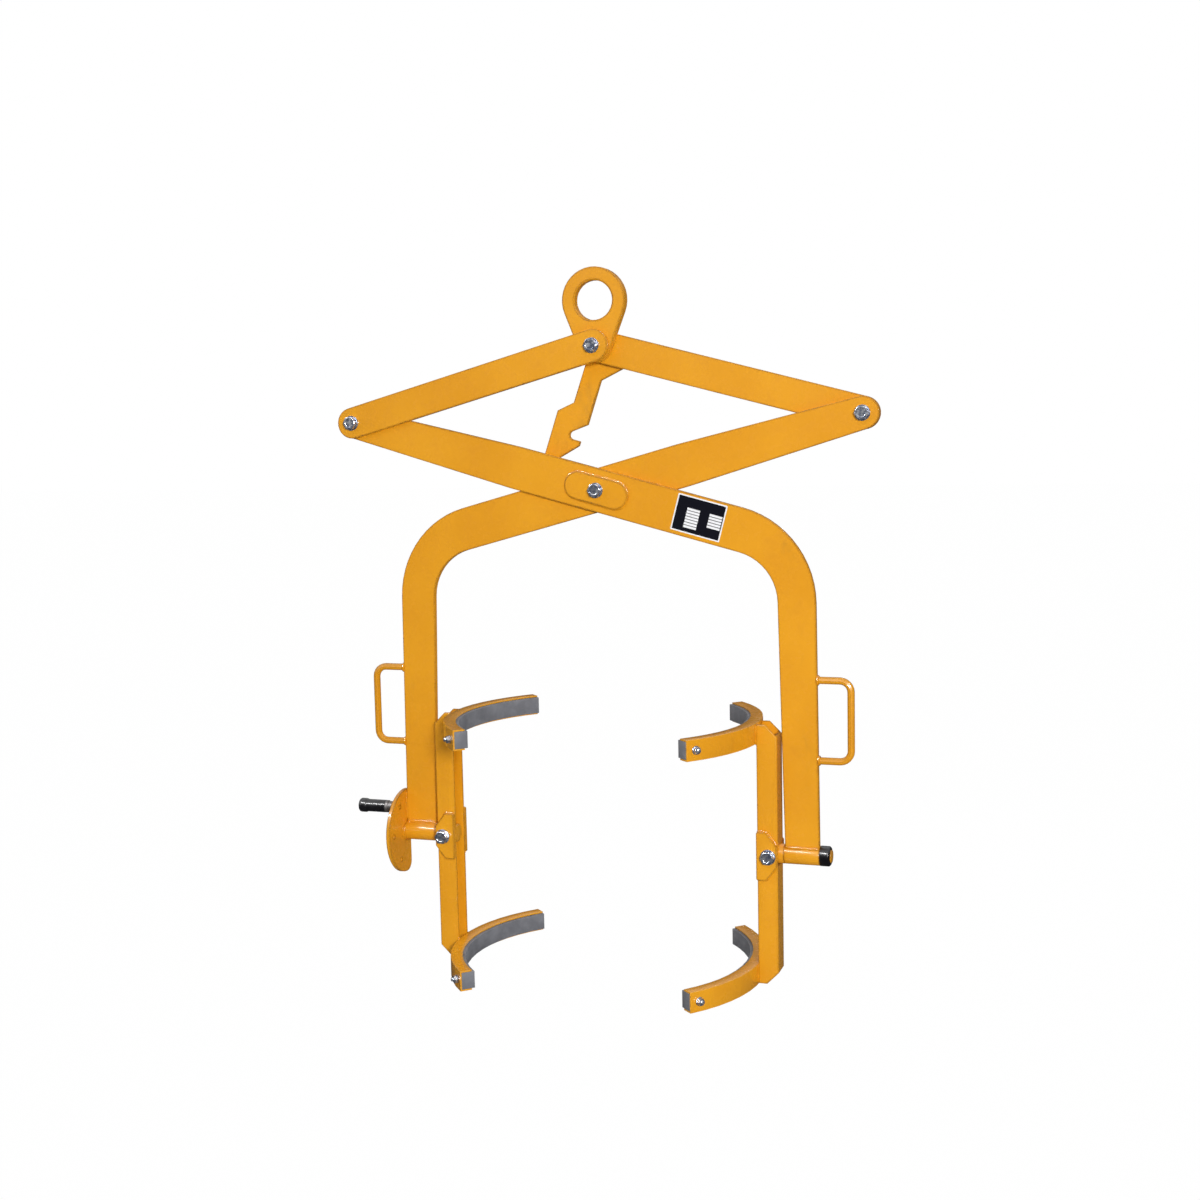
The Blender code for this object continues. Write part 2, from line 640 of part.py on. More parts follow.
def make_bearings(side, way, empty):
    bore = [(way * TUBE_START, TUBE_INNER_RADIUS), (way * TUBE_START, TUBE_RADIUS),
            (way * TUBE_END, TUBE_RADIUS), (way * TUBE_END, TUBE_INNER_RADIUS)]
    hang(turned(side + "_bearing_tube", bore, PAINT, "X", (0.0, SHAFT_Z), LARGE_ROUND, bored=True), empty)
    lining = [(way * TUBE_START, BUSH_INNER_RADIUS), (way * TUBE_START, BUSH_OUTER_RADIUS),
              (way * TUBE_END, BUSH_OUTER_RADIUS), (way * TUBE_END, BUSH_INNER_RADIUS)]
    hang(turned(side + "_bush", lining, BRONZE, "X", (0.0, SHAFT_Z), LARGE_ROUND, bored=True), empty)


def make_shaft(side, way, outer_end, empty):
    start = CHANNEL_INNER + SHAFT_HEAD_BACKSET
    shoulder = TUBE_START - CLEARANCE
    bevel = 2 * PLATE_CHAMFER
    profile = [(way * start, TUBE_RADIUS - bevel), (way * (start + bevel), TUBE_RADIUS),
               (way * shoulder, TUBE_RADIUS), (way * shoulder, SHAFT_RADIUS),
               (way * (outer_end - bevel / 2), SHAFT_RADIUS), (way * outer_end, SHAFT_RADIUS - bevel / 2)]
    shaft = turned(side + "_shaft", profile, PAINT, "X", (0.0, SHAFT_Z), LARGE_ROUND)
    drill = [(-TUBE_RADIUS - CLEARANCE, HOLE_RADIUS), (TUBE_RADIUS + CLEARANCE, HOLE_RADIUS)]
    tool = turned(side + "_shaft_drill", drill, PAINT, "Y", (way * CLAMP_BOLT_OFFSET, SHAFT_Z))
    hang(boolean(shaft, cutter(tool)), empty)


def box_tool(name, low, high):
    bm = bmesh.new()
    bmesh.ops.create_cube(bm, size=1.0)
    centre = (Vector(low) + Vector(high)) / 2
    span = Vector(high) - Vector(low)
    for vertex in bm.verts:
        vertex.co = Vector((vertex.co.x * span.x, vertex.co.y * span.y, vertex.co.z * span.z)) + centre
    return cutter(finish(name, bm, PAINT))


def make_channel(side, way, empty):
    """Upright channel, open towards the load, cut away where the shaft's head enters."""
    half, cut = CHANNEL_HALF_LENGTH, CHANNEL_CHAMFER
    profile = [(CHANNEL_INNER, half), (CHANNEL_OUTER - cut, half), (CHANNEL_OUTER, half - cut),
               (CHANNEL_OUTER, cut - half), (CHANNEL_OUTER - cut, -half), (CHANNEL_INNER, -half)]
    outline = [(way * x, SHAFT_Z + z) for x, z in profile]
    channel = plate(side + "_channel", outline, [], -CHANNEL_WIDTH / 2, CHANNEL_WIDTH / 2, PAINT,
                    chamfer=CHANNEL_WALL / 2)
    inner = CHANNEL_WIDTH / 2 - CHANNEL_WALL
    reach = CHANNEL_HALF_LENGTH + 0.01
    near, far = sorted((way * (CHANNEL_INNER - 0.01), way * (CHANNEL_OUTER - CHANNEL_WALL)))
    trough = box_tool(side + "_channel_trough", (near, -inner, SHAFT_Z - reach), (far, inner, SHAFT_Z + reach))
    window = TUBE_RADIUS + 2 * CLEARANCE
    rise = TUBE_RADIUS + 3 * CLEARANCE
    near, far = sorted((way * (CHANNEL_OUTER - 2 * CHANNEL_WALL), way * (CHANNEL_OUTER + 0.01)))
    opening = box_tool(side + "_channel_window", (near, -window, SHAFT_Z - rise), (far, window, SHAFT_Z + rise))
    reach = CHANNEL_WIDTH / 2 + 0.01
    drill = turned(side + "_channel_drill", [(-reach, HOLE_RADIUS), (reach, HOLE_RADIUS)], PAINT, "Y",
                   (way * CLAMP_BOLT_OFFSET, SHAFT_Z))
    boolean(channel, trough)
    boolean(channel, opening)
    boolean(channel, cutter(drill))
    hang(channel, empty)


def make_fork(side, way, empty):
    """Two plates on the channel's flanges that carry the clamp bolt."""
    bolt = (way * CLAMP_BOLT_OFFSET, SHAFT_Z)
    tall, short = FORK_INNER_HALF, FORK_OUTER_HALF
    near, far, corner = CHANNEL_INNER, CHANNEL_OUTER, FORK_CORNER
    profile = [(near, tall - corner), (near + corner, tall), (near + FORK_LAND, tall), (far, short),
               (far, -short), (near + FORK_LAND, -tall), (near + corner, -tall), (near, corner - tall)]
    outline = [(way * x, SHAFT_Z + z) for x, z in profile]
    face = CHANNEL_WIDTH / 2 + CLEARANCE
    far_face = face + FORK_THICKNESS
    hang(plate(side + "_front_fork", outline, pivot_holes(bolt), -far_face, -face, PAINT), empty)
    hang(plate(side + "_rear_fork", outline, pivot_holes(bolt), face, far_face, PAINT), empty)
    seat = far_face + CLEARANCE
    tip = seat + WASHER_THICKNESS + NUT_HEIGHT + BOLT_END
    hang(hex_bolt(side + "_clamp_bolt", bolt, -seat, tip), empty)
    hang(hex_nut(side + "_clamp_nut", bolt, seat, NUT_HEIGHT), empty)


def swept_section(name, section, way, height, material):
    """Section of (radius, z) points turned about the vertical axis over the shoe's span."""
    bm = bmesh.new()
    count = math.ceil(SHOE_HALF_SPAN / math.acos(1 - 2 * ARC_SAG / SHOE_OUTER_RADIUS))
    rings = []
    for i in range(count + 1):
        angle = SHOE_HALF_SPAN * (2 * i / count - 1)
        rings.append([bm.verts.new((way * r * math.cos(angle), r * math.sin(angle), SHAFT_Z + height + z))
                      for r, z in section])
    bridge(bm, rings, closed=False)
    bm.faces.new(rings[0])
    bm.faces.new(list(reversed(rings[-1])))
    return finish(name, bm, material)


def make_shoe(side, level, way, height, empty):
    half = SHOE_HEIGHT / 2
    wall = SHOE_WALL
    outer, inner = SHOE_OUTER_RADIUS, SHOE_INNER_RADIUS
    groove = outer - wall
    channel = [(inner, -half), (outer, -half), (outer, half), (inner, half),
               (inner, half - wall), (groove, half - wall), (groove, wall - half), (inner, wall - half)]
    shoe = swept_section(f"{side}_{level}_shoe", channel, way, height, PAINT)
    pad_half = half - wall - CLEARANCE
    pad_back = GRIP_RADIUS + LINING_THICKNESS
    block = [(GRIP_RADIUS, -pad_half), (pad_back, -pad_half), (pad_back, pad_half), (GRIP_RADIUS, pad_half)]
    pad = swept_section(f"{side}_{level}_lining", block, way, height, RUBBER)
    for end, turn in (("front", -1), ("rear", 1)):
        angle = turn * (SHOE_HALF_SPAN - SCREW_END_ANGLE)
        heading = angle if way > 0 else math.pi - angle
        place = Matrix.Translation((0.0, 0.0, SHAFT_Z + height)) @ Matrix.Rotation(heading, 4, "Z")
        seat = outer + CLEARANCE
        head = head_sections(seat, 1, 0.62 * SCREW_ACROSS, SCREW_RADIUS / 4, SCREW_ACROSS, SCREW_HEAD_HEIGHT)
        tip = groove - SCREW_BITE
        shank = [(tip, SCREW_RADIUS), (seat, SCREW_RADIUS)]
        name = f"{side}_{level}_{end}_screw"
        screw = turned(name, shank + head, ZINC, "X", count=12)
        screw.data.transform(place)
        hole_radius = SCREW_RADIUS + CLEARANCE
        hole = [(tip - CLEARANCE, hole_radius), (seat + SHOE_WALL, hole_radius)]
        drill = cutter(turned(name + "_drill", hole, ZINC, "X", count=12))
        drill.data.transform(place)
        boolean(shoe, drill)
        boolean(pad, drill)
        hang(screw, empty)
    hang(shoe, empty)
    hang(pad, empty)


def make_clamp(side, way, shaft_pivot):
    clamp_pivot = pivot(side + "_clamp_pivot", (way * CLAMP_BOLT_OFFSET, 0.0, SHAFT_Z), shaft_pivot)
    make_channel(side, way, clamp_pivot)
    make_fork(side, way, clamp_pivot)
    make_shoe(side, "upper", way, SHOE_RISE, clamp_pivot)
    make_shoe(side, "lower", way, -SHOE_RISE, clamp_pivot)


def index_outline():
    """Round plate about the shaft with a flat behind it and rounded corners."""
    def corner(radius, way):
        across = INDEX_FLAT - radius
        rise = way * math.sqrt((INDEX_RADIUS - radius) ** 2 - across ** 2)
        return (across, rise), math.atan2(rise, across) % (2 * math.pi)

    upper, upper_meet = corner(INDEX_UPPER_CORNER, 1)
    lower, lower_meet = corner(INDEX_LOWER_CORNER, -1)
    rim = arc((0.0, 0.0), INDEX_RADIUS, upper_meet, lower_meet)
    rim += arc(lower, INDEX_LOWER_CORNER, lower_meet, 2 * math.pi)
    rim += arc(upper, INDEX_UPPER_CORNER, 0.0, upper_meet)
    return [(y, SHAFT_Z + z) for y, z in rim]


def make_index_plate(empty):
    holes = [(0.0, SHAFT_Z, BUSH_INNER_RADIUS, 0)]
    for i in range(INDEX_HOLES):
        angle = math.pi - (i - (INDEX_HOLES - 1) / 2) * INDEX_STEP
        holes.append((INDEX_PITCH_RADIUS * math.cos(angle), SHAFT_Z + INDEX_PITCH_RADIUS * math.sin(angle),
                      PIN_BORE_RADIUS, 0))
    hang(plate("index_plate", index_outline(), holes, -INDEX_END, -INDEX_START, PAINT, "X"), empty)


def make_crank(shaft_pivot, plunger_pivot):
    """Lever on the shaft's end with its guide, pin, spring, ferrule and grip."""
    hub = (0.0, SHAFT_Z)
    tip = (PLUNGER_AXIS[0], SHAFT_Z + PLUNGER_AXIS[1])
    outline = belt(hub, LEVER_HUB_RADIUS, tip, LEVER_TIP_RADIUS)
    holes = [(*hub, BUSH_INNER_RADIUS, 0), (*tip, PIN_BORE_RADIUS, 0)]
    hang(plate("crank_lever", outline, holes, -LEVER_END, -LEVER_START, PAINT, "X"), shaft_pivot)

    guide = [(-GUIDE_START, PIN_BORE_RADIUS), (-GUIDE_START, GUIDE_RADIUS), (-GUIDE_END, GUIDE_RADIUS),
             (-GUIDE_END, PIN_BORE_RADIUS), (GUIDE_END_WALL - GUIDE_END, PIN_BORE_RADIUS),
             (GUIDE_END_WALL - GUIDE_END, GUIDE_BORE_RADIUS), (-GUIDE_START - GUIDE_END_WALL, GUIDE_BORE_RADIUS),
             (-GUIDE_START - GUIDE_END_WALL, PIN_BORE_RADIUS)]
    hang(turned("plunger_guide", guide, PHOSPHATE, "X", tip, bored=True), shaft_pivot)

    point = INDEX_END + 2 * CLEARANCE
    collar = GUIDE_START + GUIDE_END_WALL + PLUNGER_TRAVEL + CLEARANCE
    collar_radius = GUIDE_BORE_RADIUS - CLEARANCE
    end = GUIDE_END + PIN_GRIP_DEPTH
    pin = [(-point, 0.7 * INDEX_PIN_RADIUS), (-point - 0.3 * INDEX_PIN_RADIUS, INDEX_PIN_RADIUS),
           (-collar, INDEX_PIN_RADIUS), (-collar, collar_radius),
           (-collar - PIN_COLLAR_THICKNESS, collar_radius), (-collar - PIN_COLLAR_THICKNESS, INDEX_PIN_RADIUS),
           (-end, INDEX_PIN_RADIUS)]
    hang(turned("plunger_pin", pin, STEEL, "X", tip), plunger_pivot)

    start = collar + PIN_COLLAR_THICKNESS + CLEARANCE + SPRING_WIRE_RADIUS
    stop = GUIDE_END - GUIDE_END_WALL - CLEARANCE - SPRING_WIRE_RADIUS
    coil_radius = (INDEX_PIN_RADIUS + GUIDE_BORE_RADIUS) / 2
    count = SPRING_TURNS * SPRING_POINTS
    coil = []
    for i in range(count + 1):
        angle = 2 * math.pi * SPRING_TURNS * i / count
        coil.append(Vector((-start - (stop - start) * i / count, tip[0] + coil_radius * math.cos(angle),
                            tip[1] + coil_radius * math.sin(angle))))
    hang(bar_sweep("plunger_spring", coil, SPRING_WIRE_RADIUS, STEEL, 1), shaft_pivot)

    ferrule_start = GUIDE_START + PLUNGER_TRAVEL + CLEARANCE
    ferrule_end = ferrule_start + FERRULE_LENGTH
    slide_bore = GUIDE_RADIUS + CLEARANCE
    ferrule = [(-ferrule_start, slide_bore), (-ferrule_start, FERRULE_RADIUS),
               (-ferrule_end, FERRULE_RADIUS), (-ferrule_end, slide_bore)]
    hang(turned("plunger_ferrule", ferrule, PHOSPHATE, "X", tip, bored=True), plunger_pivot)

    mouth = ferrule_end + CLEARANCE
    outer = mouth + GRIP_LENGTH
    neck = outer - GRIP_BULGE_LENGTH
    fillet = GRIP_BULGE_RADIUS / 4
    shell = [(-mouth, GRIP_BODY_RADIUS), (-neck, GRIP_BODY_RADIUS),
             (-neck - fillet / 2, GRIP_BULGE_RADIUS - fillet / 5), (-neck - fillet, GRIP_BULGE_RADIUS),
             (fillet - outer, GRIP_BULGE_RADIUS), (fillet / 3 - outer, GRIP_BULGE_RADIUS - fillet / 3),
             (-outer, GRIP_BULGE_RADIUS - fillet)]
    floor = GUIDE_END + PLUNGER_TRAVEL + 2 * CLEARANCE
    hollow = [(CLEARANCE - mouth, slide_bore), (-floor, slide_bore), (-floor, PIN_BORE_RADIUS),
              (-end - CLEARANCE, PIN_BORE_RADIUS)]
    blank = turned("plunger_grip", shell, PLASTIC, "X", tip)
    grip = boolean(blank, cutter(turned("grip_hollow", hollow, PLASTIC, "X", tip)))
    hang(grip, plunger_pivot)


def make_collar(empty):
    start = TUBE_END + CLEARANCE
    end = start + COLLAR_LENGTH
    ring = [(start, BUSH_INNER_RADIUS), (start, COLLAR_RADIUS), (end - COLLAR_CHAMFER, COLLAR_RADIUS),
            (end, COLLAR_RADIUS - COLLAR_CHAMFER), (end, BUSH_INNER_RADIUS)]
    hang(turned("shaft_collar", ring, PLASTIC, "X", (0.0, SHAFT_Z), LARGE_ROUND, bored=True), empty)
    return end


make_eye()
make_links()
make_arms()
make_doublers()
make_latch()
make_pivot_fasteners()
make_handles()

right_shaft_pivot = pivot("right_shaft_pivot", (LEG_INNER_OFFSET, 0.0, SHAFT_Z), front_arm_pivot)
left_shaft_pivot = pivot("left_shaft_pivot", (-LEG_INNER_OFFSET, 0.0, SHAFT_Z), rear_arm_pivot)
plunger_place = (-GUIDE_START, PLUNGER_AXIS[0], SHAFT_Z + PLUNGER_AXIS[1])
plunger_pivot = pivot("plunger_pivot", plunger_place, left_shaft_pivot)

make_bearings("right", 1, front_arm_pivot)
make_bearings("left", -1, rear_arm_pivot)
collar_end = make_collar(right_shaft_pivot)
make_shaft("right", 1, collar_end + SHAFT_STUB, right_shaft_pivot)
make_shaft("left", -1, LEVER_END, left_shaft_pivot)
make_clamp("right", 1, right_shaft_pivot)
make_clamp("left", -1, left_shaft_pivot)
make_index_plate(rear_arm_pivot)
make_crank(left_shaft_pivot, plunger_pivot)
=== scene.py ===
import json
import math

import bmesh
import bpy
from mathutils import Matrix, Vector, noise


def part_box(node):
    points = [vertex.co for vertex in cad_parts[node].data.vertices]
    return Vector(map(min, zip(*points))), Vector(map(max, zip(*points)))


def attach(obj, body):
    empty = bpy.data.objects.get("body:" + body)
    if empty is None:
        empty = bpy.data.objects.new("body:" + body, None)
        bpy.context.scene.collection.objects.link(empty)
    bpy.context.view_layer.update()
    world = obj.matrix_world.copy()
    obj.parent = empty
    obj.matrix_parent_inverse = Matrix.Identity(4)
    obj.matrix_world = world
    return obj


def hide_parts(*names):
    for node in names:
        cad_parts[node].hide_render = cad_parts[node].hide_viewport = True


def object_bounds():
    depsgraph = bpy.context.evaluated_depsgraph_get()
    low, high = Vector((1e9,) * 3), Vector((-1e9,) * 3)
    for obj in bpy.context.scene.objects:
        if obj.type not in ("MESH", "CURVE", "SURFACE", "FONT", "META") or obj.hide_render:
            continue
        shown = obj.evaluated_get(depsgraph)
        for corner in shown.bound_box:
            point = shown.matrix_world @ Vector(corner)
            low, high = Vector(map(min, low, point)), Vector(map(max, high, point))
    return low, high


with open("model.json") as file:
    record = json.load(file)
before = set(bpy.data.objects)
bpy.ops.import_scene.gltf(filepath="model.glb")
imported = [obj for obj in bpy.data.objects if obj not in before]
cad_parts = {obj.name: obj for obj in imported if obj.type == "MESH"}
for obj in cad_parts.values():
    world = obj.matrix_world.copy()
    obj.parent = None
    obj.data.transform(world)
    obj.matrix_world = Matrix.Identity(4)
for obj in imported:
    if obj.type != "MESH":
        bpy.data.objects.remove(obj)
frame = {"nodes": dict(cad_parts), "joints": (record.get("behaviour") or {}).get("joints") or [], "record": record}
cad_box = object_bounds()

# Camera, worked out from the pivots' places in the photograph
CAMERA_PLACE = Vector((1.0376, -3.1010, -0.2275))
CAMERA_HEADING = math.radians(18.526)
CAMERA_DIP = math.radians(6.20)
CAMERA_ROLL = math.radians(-1.19)
CAMERA_LENS = 50.09

# Hexagon bolts and nuts at the pivots
HEAD_ACROSS = 0.024
HEAD_HEIGHT = 0.010
WASHER_RADIUS = 0.0150
WASHER_THICKNESS = 0.003
BOLT_RADIUS = 0.008
BOLT_FACETS = 48
THREAD_LENGTH = 0.020
THREAD_PITCH = 0.002
THREAD_DEPTH = 0.0008
THREAD_END_LENGTH = 0.0008
THREAD_END_DROP = 0.0014
NUT_BORE = BOLT_RADIUS + 0.0002
NUT_COUNTERSINK = 0.0010
NUT_COUNTERSINK_DEPTH = 0.0009

# Every hexagon: radii as shares of the size across its flats, and lengths along the bolt
COLLAR_SHARE = 0.47
FACE_SHARE = 0.475
DISH_RIM_SHARE = 0.34
DISH_FLOOR_SHARE = 0.31
DISH_DEPTH = 0.0004
COLLAR_HEIGHT = 0.0004
HEXAGON_START = 0.0006
CHAMFER_ANGLE = math.radians(30)
WASHER_EASE = 0.12

# Studs that hold the linings
STUD_RADIUS = 0.004
STUD_FACETS = 36
STUD_DEPTH_IN_SHOE = 0.012
STUD_PITCH = 0.00125
STUD_REACH = 0.0045
STUD_THREAD_RISE = 0.0002
STUD_END_LENGTH = 0.0006
STUD_END_DROP = 0.0012
STUD_NUT_EASE = 0.0004
STUD_NUT_ACROSS = 0.013
STUD_NUT_HEIGHT = 0.0065
STUD_HEXAGON_START = 0.0003
STUD_WASHER_RADIUS = 0.0082
STUD_WASHER_THICKNESS = 0.0010
STUD_WASHER_GAP = 0.0002
STUD_ANGLE = math.radians(39.4)

# Weld beads: step along the seam, ripples, lumps, and taper at the ends
BEAD_STEP = 0.0011
BEAD_SIDES = 10
BEAD_LEAN = Vector((0.31, 0.83, 0.46))
RIPPLE_PITCH = 0.0042
RIPPLE_SHARE = 0.06
LUMP_SHARE = 0.30
LUMP_SCALE = 70.0
GRAIN_SHARE = 0.12
GRAIN_SCALE = 240.0
TAPER_START = 0.35
TAPER_STEP = 0.22

# Radii of the beads, and how far a bead's middle lies off the metal
PLATE_BEAD = 0.0022
FOOT_BEAD = 0.0032
FORK_BEAD = 0.0026
SEAT_BEAD = 0.0023
HANDLE_BEAD = 0.0026
BOSS_BEAD = 0.0016
BEAD_LIFT = 0.0006
EDGE_LIFT = 0.0008
FOOT_LIFT = 0.0012
TUBE_LIFT = 0.0010
SEAT_LIFT = 0.0004
HANDLE_LIFT = 0.0004

# Where the seams begin and end; the one round the bearing tube is in degrees
FOOT_INSET = 0.003
FOOT_END_INSET = 0.001
SEAT_SINK = 0.0002
SEAT_END_INSET = 0.002
SEAT_EDGE_LENGTH = 0.0045
INDEX_WELD_START = 146
INDEX_WELD_SWEEP = 248
INDEX_SEAM_RISE = 0.024
INDEX_SEAM_INSET = 0.006

# Type plate on the front arm, left without any wording
ARM_SLOPE = math.radians(15.1)
PLATE_LENGTH = 0.100
PLATE_HEIGHT = 0.072
PLATE_ALONG_ARM = 0.2122
PLATE_ABOVE_MIDDLE = 0.0020
PLATE_GAP = 0.0001
PLATE_THICKNESS = 0.0005
PLATE_EASE = 0.3
PLATE_CORNER = 0.002
PLATE_BORDER = 0.0027
FIELD_CORNER = 0.001
CORNER_STEPS = 4

# Empty boxes on the type plate; each column is (distance along, height of its first box, boxes, width)
BOX_THICKNESS = 0.00012
BOX_HEIGHT = 0.0044
BOX_PITCH = 0.0057
BOX_CORNER = 0.0006
BOX_COLUMNS = ((-0.0130, 0.0110, 7, 0.026), (0.0325, 0.0105, 5, 0.026))

# Suspension eye
EYE_BOSS_RADIUS = 0.024
EYE_HALF_THICKNESS = 0.010

# Shading: angles in degrees above which an edge stays sharp or is eased, and by how much it is eased
SOLID_CREASE = 32
FASTENER_CREASE = 28
BEAD_CREASE = 60
PLATE_CREASE = 12
EASED_CREASE = 40
EDGE_EASE = 0.0006
CORNER_JOIN = 0.00002

# Studio
FLOOR_DROP = 0.75
FLOOR_SIZE = 40.0
FLOOR_TONE = 0.45
FLOOR_GLOW = 0.995
WORLD_LEVEL = 0.40
LAMP_TARGET = Vector((0.0, 0.0, -0.7))

# Turns a mesh made along +X so that it runs along +Y
TO_Y = Matrix(((0, 1, 0, 0), (1, 0, 0, 0), (0, 0, -1, 0), (0, 0, 0, 1)))


def middle(node):
    low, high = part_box(node)
    return (low + high) / 2


def pivot(joint):
    return Vector(next(j["pos_m"] for j in frame["joints"] if j["name"] == joint))


CENTRE_PIVOT = pivot("rear_arm_pivot")
TOP_PIVOT = pivot("latch_pivot")
SHAFT_LEVEL = middle("right_bearing_tube").z
TUBE_RADIUS = (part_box("right_bearing_tube")[1].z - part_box("right_bearing_tube")[0].z) / 2


class Value:
    """A shader socket that can be used in sums."""

    def __init__(self, graph, socket):
        self.graph = graph
        self.socket = socket

    def combine(self, operation, first, second, clamp=False):
        settings = {"operation": operation, "use_clamp": clamp}
        return self.graph.node("ShaderNodeMath", settings, [first, second])

    def __add__(self, other):
        return self.combine("ADD", self, other)

    def __radd__(self, other):
        return self.combine("ADD", other, self)

    def __sub__(self, other):
        return self.combine("SUBTRACT", self, other)

    def __rsub__(self, other):
        return self.combine("SUBTRACT", other, self)

    def __mul__(self, other):
        return self.combine("MULTIPLY", self, other)

    def __rmul__(self, other):
        return self.combine("MULTIPLY", other, self)

    def clamped(self):
        return self.combine("MULTIPLY", self, 1.0, clamp=True)

    def between(self, low, high, bottom=0.0, top=1.0):
        """The bottom value below low, the top value above high, smooth in between."""
        return self.graph.node("ShaderNodeMapRange", {"interpolation_type": "SMOOTHSTEP"},
                               {"Value": self, "From Min": low, "From Max": high,
                                "To Min": bottom, "To Max": top})


class Graph:
    """Node tree of a material or of the world; a material's shader is its Principled one."""

    def __init__(self, owner):
        owner.use_nodes = True
        self.owner = owner
        self.nodes = owner.node_tree.nodes
        self.links = owner.node_tree.links
        self.shader = self.nodes.get("Principled BSDF")

    def node(self, kind, settings=None, inputs=None, output=0):
        made = self.nodes.new(kind)
        for key, setting in (settings or {}).items():
            setattr(made, key, setting)
        pairs = inputs.items() if isinstance(inputs, dict) else enumerate(inputs or [])
        for key, value in pairs:
            self.plug(made.inputs[key], value)
        return Value(self, made.outputs[output])

    def plug(self, socket, value):
        if isinstance(value, Value):
            self.links.new(value.socket, socket)
        else:
            socket.default_value = value

    def set(self, socket, value):
        self.plug(self.shader.inputs[socket], value)

    def speckle(self, scale, detail=2.0, roughness=0.5, stretch=None, distortion=0.0):
        place = self.node("ShaderNodeTexCoord", output="Object")
        if stretch:
            place = self.node("ShaderNodeMapping", None, {"Vector": place, "Scale": stretch})
        return self.node("ShaderNodeTexNoise", None, {"Vector": place, "Scale": scale, "Detail": detail,
                                                      "Roughness": roughness, "Distortion": distortion})

    def blend(self, factor, first, second):
        """Colour mix; a plain colour is given as three numbers."""
        first = first if isinstance(first, Value) else (*first, 1.0)
        second = second if isinstance(second, Value) else (*second, 1.0)
        return self.node("ShaderNodeMix", {"data_type": "RGBA"}, {0: factor, 6: first, 7: second}, output=2)

    def choose(self, factor, first, second):
        """The first number where the factor is 0, the second where it is 1."""
        return self.node("ShaderNodeMix", None, {0: factor, 2: first, 3: second})

    def edges(self, radius):
        """Near 1 on edges sharper than the given radius, 0 on flat faces."""
        soft = self.node("ShaderNodeBevel", {"samples": 4}, {"Radius": radius})
        plain = self.node("ShaderNodeNewGeometry", output="Normal")
        settings = {"operation": "DOT_PRODUCT"}
        turn = self.node("ShaderNodeVectorMath", settings, [soft, plain], output="Value")
        return (1.0 - turn).between(0.01, 0.12)

    def bump(self, height, strength, distance):
        self.set("Normal", self.node("ShaderNodeBump", None,
                                     {"Strength": strength, "Distance": distance, "Height": height}))


def orange_paint(name, edge_width, painted_edge_shading):
    """Glossy machine paint over flame-cut steel: cloudy tint, smears, chips, and edges blended towards a painted
    shading colour (dark painted shade on the plates, bright painted highlight on the shoes).
    """
    look = Graph(bpy.data.materials.new(name))
    clouds = look.speckle(5.0, detail=3.0)
    mottle = look.speckle(38.0, detail=4.0, roughness=0.6)
    colour = look.blend(clouds.between(0.35, 0.70), (0.725, 0.306, 0.0100), (0.775, 0.342, 0.0125))
    colour = look.blend(mottle.between(0.50, 0.80) * 0.18, colour, (0.570, 0.195, 0.002))
    smears = look.speckle(9.0, detail=5.0, roughness=0.7, stretch=(1.0, 1.0, 0.35), distortion=0.6)
    colour = look.blend(smears.between(0.60, 0.78) * 0.32, colour, (0.300, 0.150, 0.030))
    edges = look.edges(edge_width)
    wear_and_shade_noise = look.speckle(21.0, detail=4.0, roughness=0.7)
    # Painted light on the edges: they are blended towards the given edge colour, which stands in for the shaded or
    # lit thickness faces; the noise only breaks the lines up
    colour = look.blend(edges * (0.55 + wear_and_shade_noise.between(0.35, 0.70) * 0.40), colour, painted_edge_shading)
    pits = look.speckle(85.0, detail=4.0, roughness=0.65)
    # Chips are real wear: bare dark metal where the same noise and the edge mask meet
    chips = (edges * pits.between(0.56, 0.60) * wear_and_shade_noise.between(0.54, 0.58)).clamped()
    look.set("Base Color", look.blend(chips * 0.9, colour, (0.045, 0.030, 0.024)))
    look.set("Roughness", 0.21 + mottle * 0.12 + chips * 0.25)
    look.set("Metallic", chips * 0.4)
    look.set("Specular IOR Level", 0.34)
    look.set("Coat Weight", 0.45 - chips * 0.45)
    look.set("Coat Roughness", 0.07)
    peel = look.speckle(420.0, detail=2.0)
    sags = look.speckle(30.0, detail=2.0)
    look.bump(peel * 0.3 + sags * 0.6 - chips * 0.8, 0.18, 0.0005)
    return look.owner


def weld_paint():
    """The same paint run over a bead: thinner and glossier on the crests, with a few bare specks."""
    look = Graph(bpy.data.materials.new("weld_paint"))
    clouds = look.speckle(60.0, detail=3.0)
    colour = look.blend(clouds.between(0.35, 0.70), (0.640, 0.235, 0.003), (0.780, 0.335, 0.008))
    bare = look.speckle(130.0, detail=3.0, roughness=0.6).between(0.66, 0.71)
    look.set("Base Color", look.blend(bare * 0.6, colour, (0.420, 0.330, 0.240)))
    look.set("Roughness", 0.12 + clouds * 0.12)
    look.set("Metallic", bare * 0.6)
    look.set("Coat Weight", 1.0)
    look.set("Coat Roughness", 0.05)
    look.bump(look.speckle(260.0, detail=3.0), 0.40, 0.0008)
    return look.owner


def zinc_plate():
    """Bright zinc with a cloudy, slightly blue passivation, dull spots, and edges painted paler as a painted
    highlight.
    """
    look = Graph(bpy.data.materials.new("zinc_plate"))
    clouds = look.speckle(150.0, detail=3.0)
    spots = look.speckle(420.0, detail=3.0, roughness=0.65)
    colour = look.blend(clouds.between(0.38, 0.66), (0.270, 0.315, 0.440), (0.720, 0.750, 0.800))
    colour = look.blend(spots.between(0.54, 0.72) * 0.65, colour, (0.075, 0.085, 0.120))
    # Edges painted pale: a painted highlight standing in for the bright rims on the heads
    look.set("Base Color", look.blend(look.edges(0.0012) * 0.55, colour, (0.900, 0.920, 0.950)))
    look.set("Metallic", 0.85)
    look.set("Roughness", 0.13 + clouds * 0.18)
    look.bump(spots * 0.5 + clouds * 0.8, 0.55, 0.0006)
    return look.owner


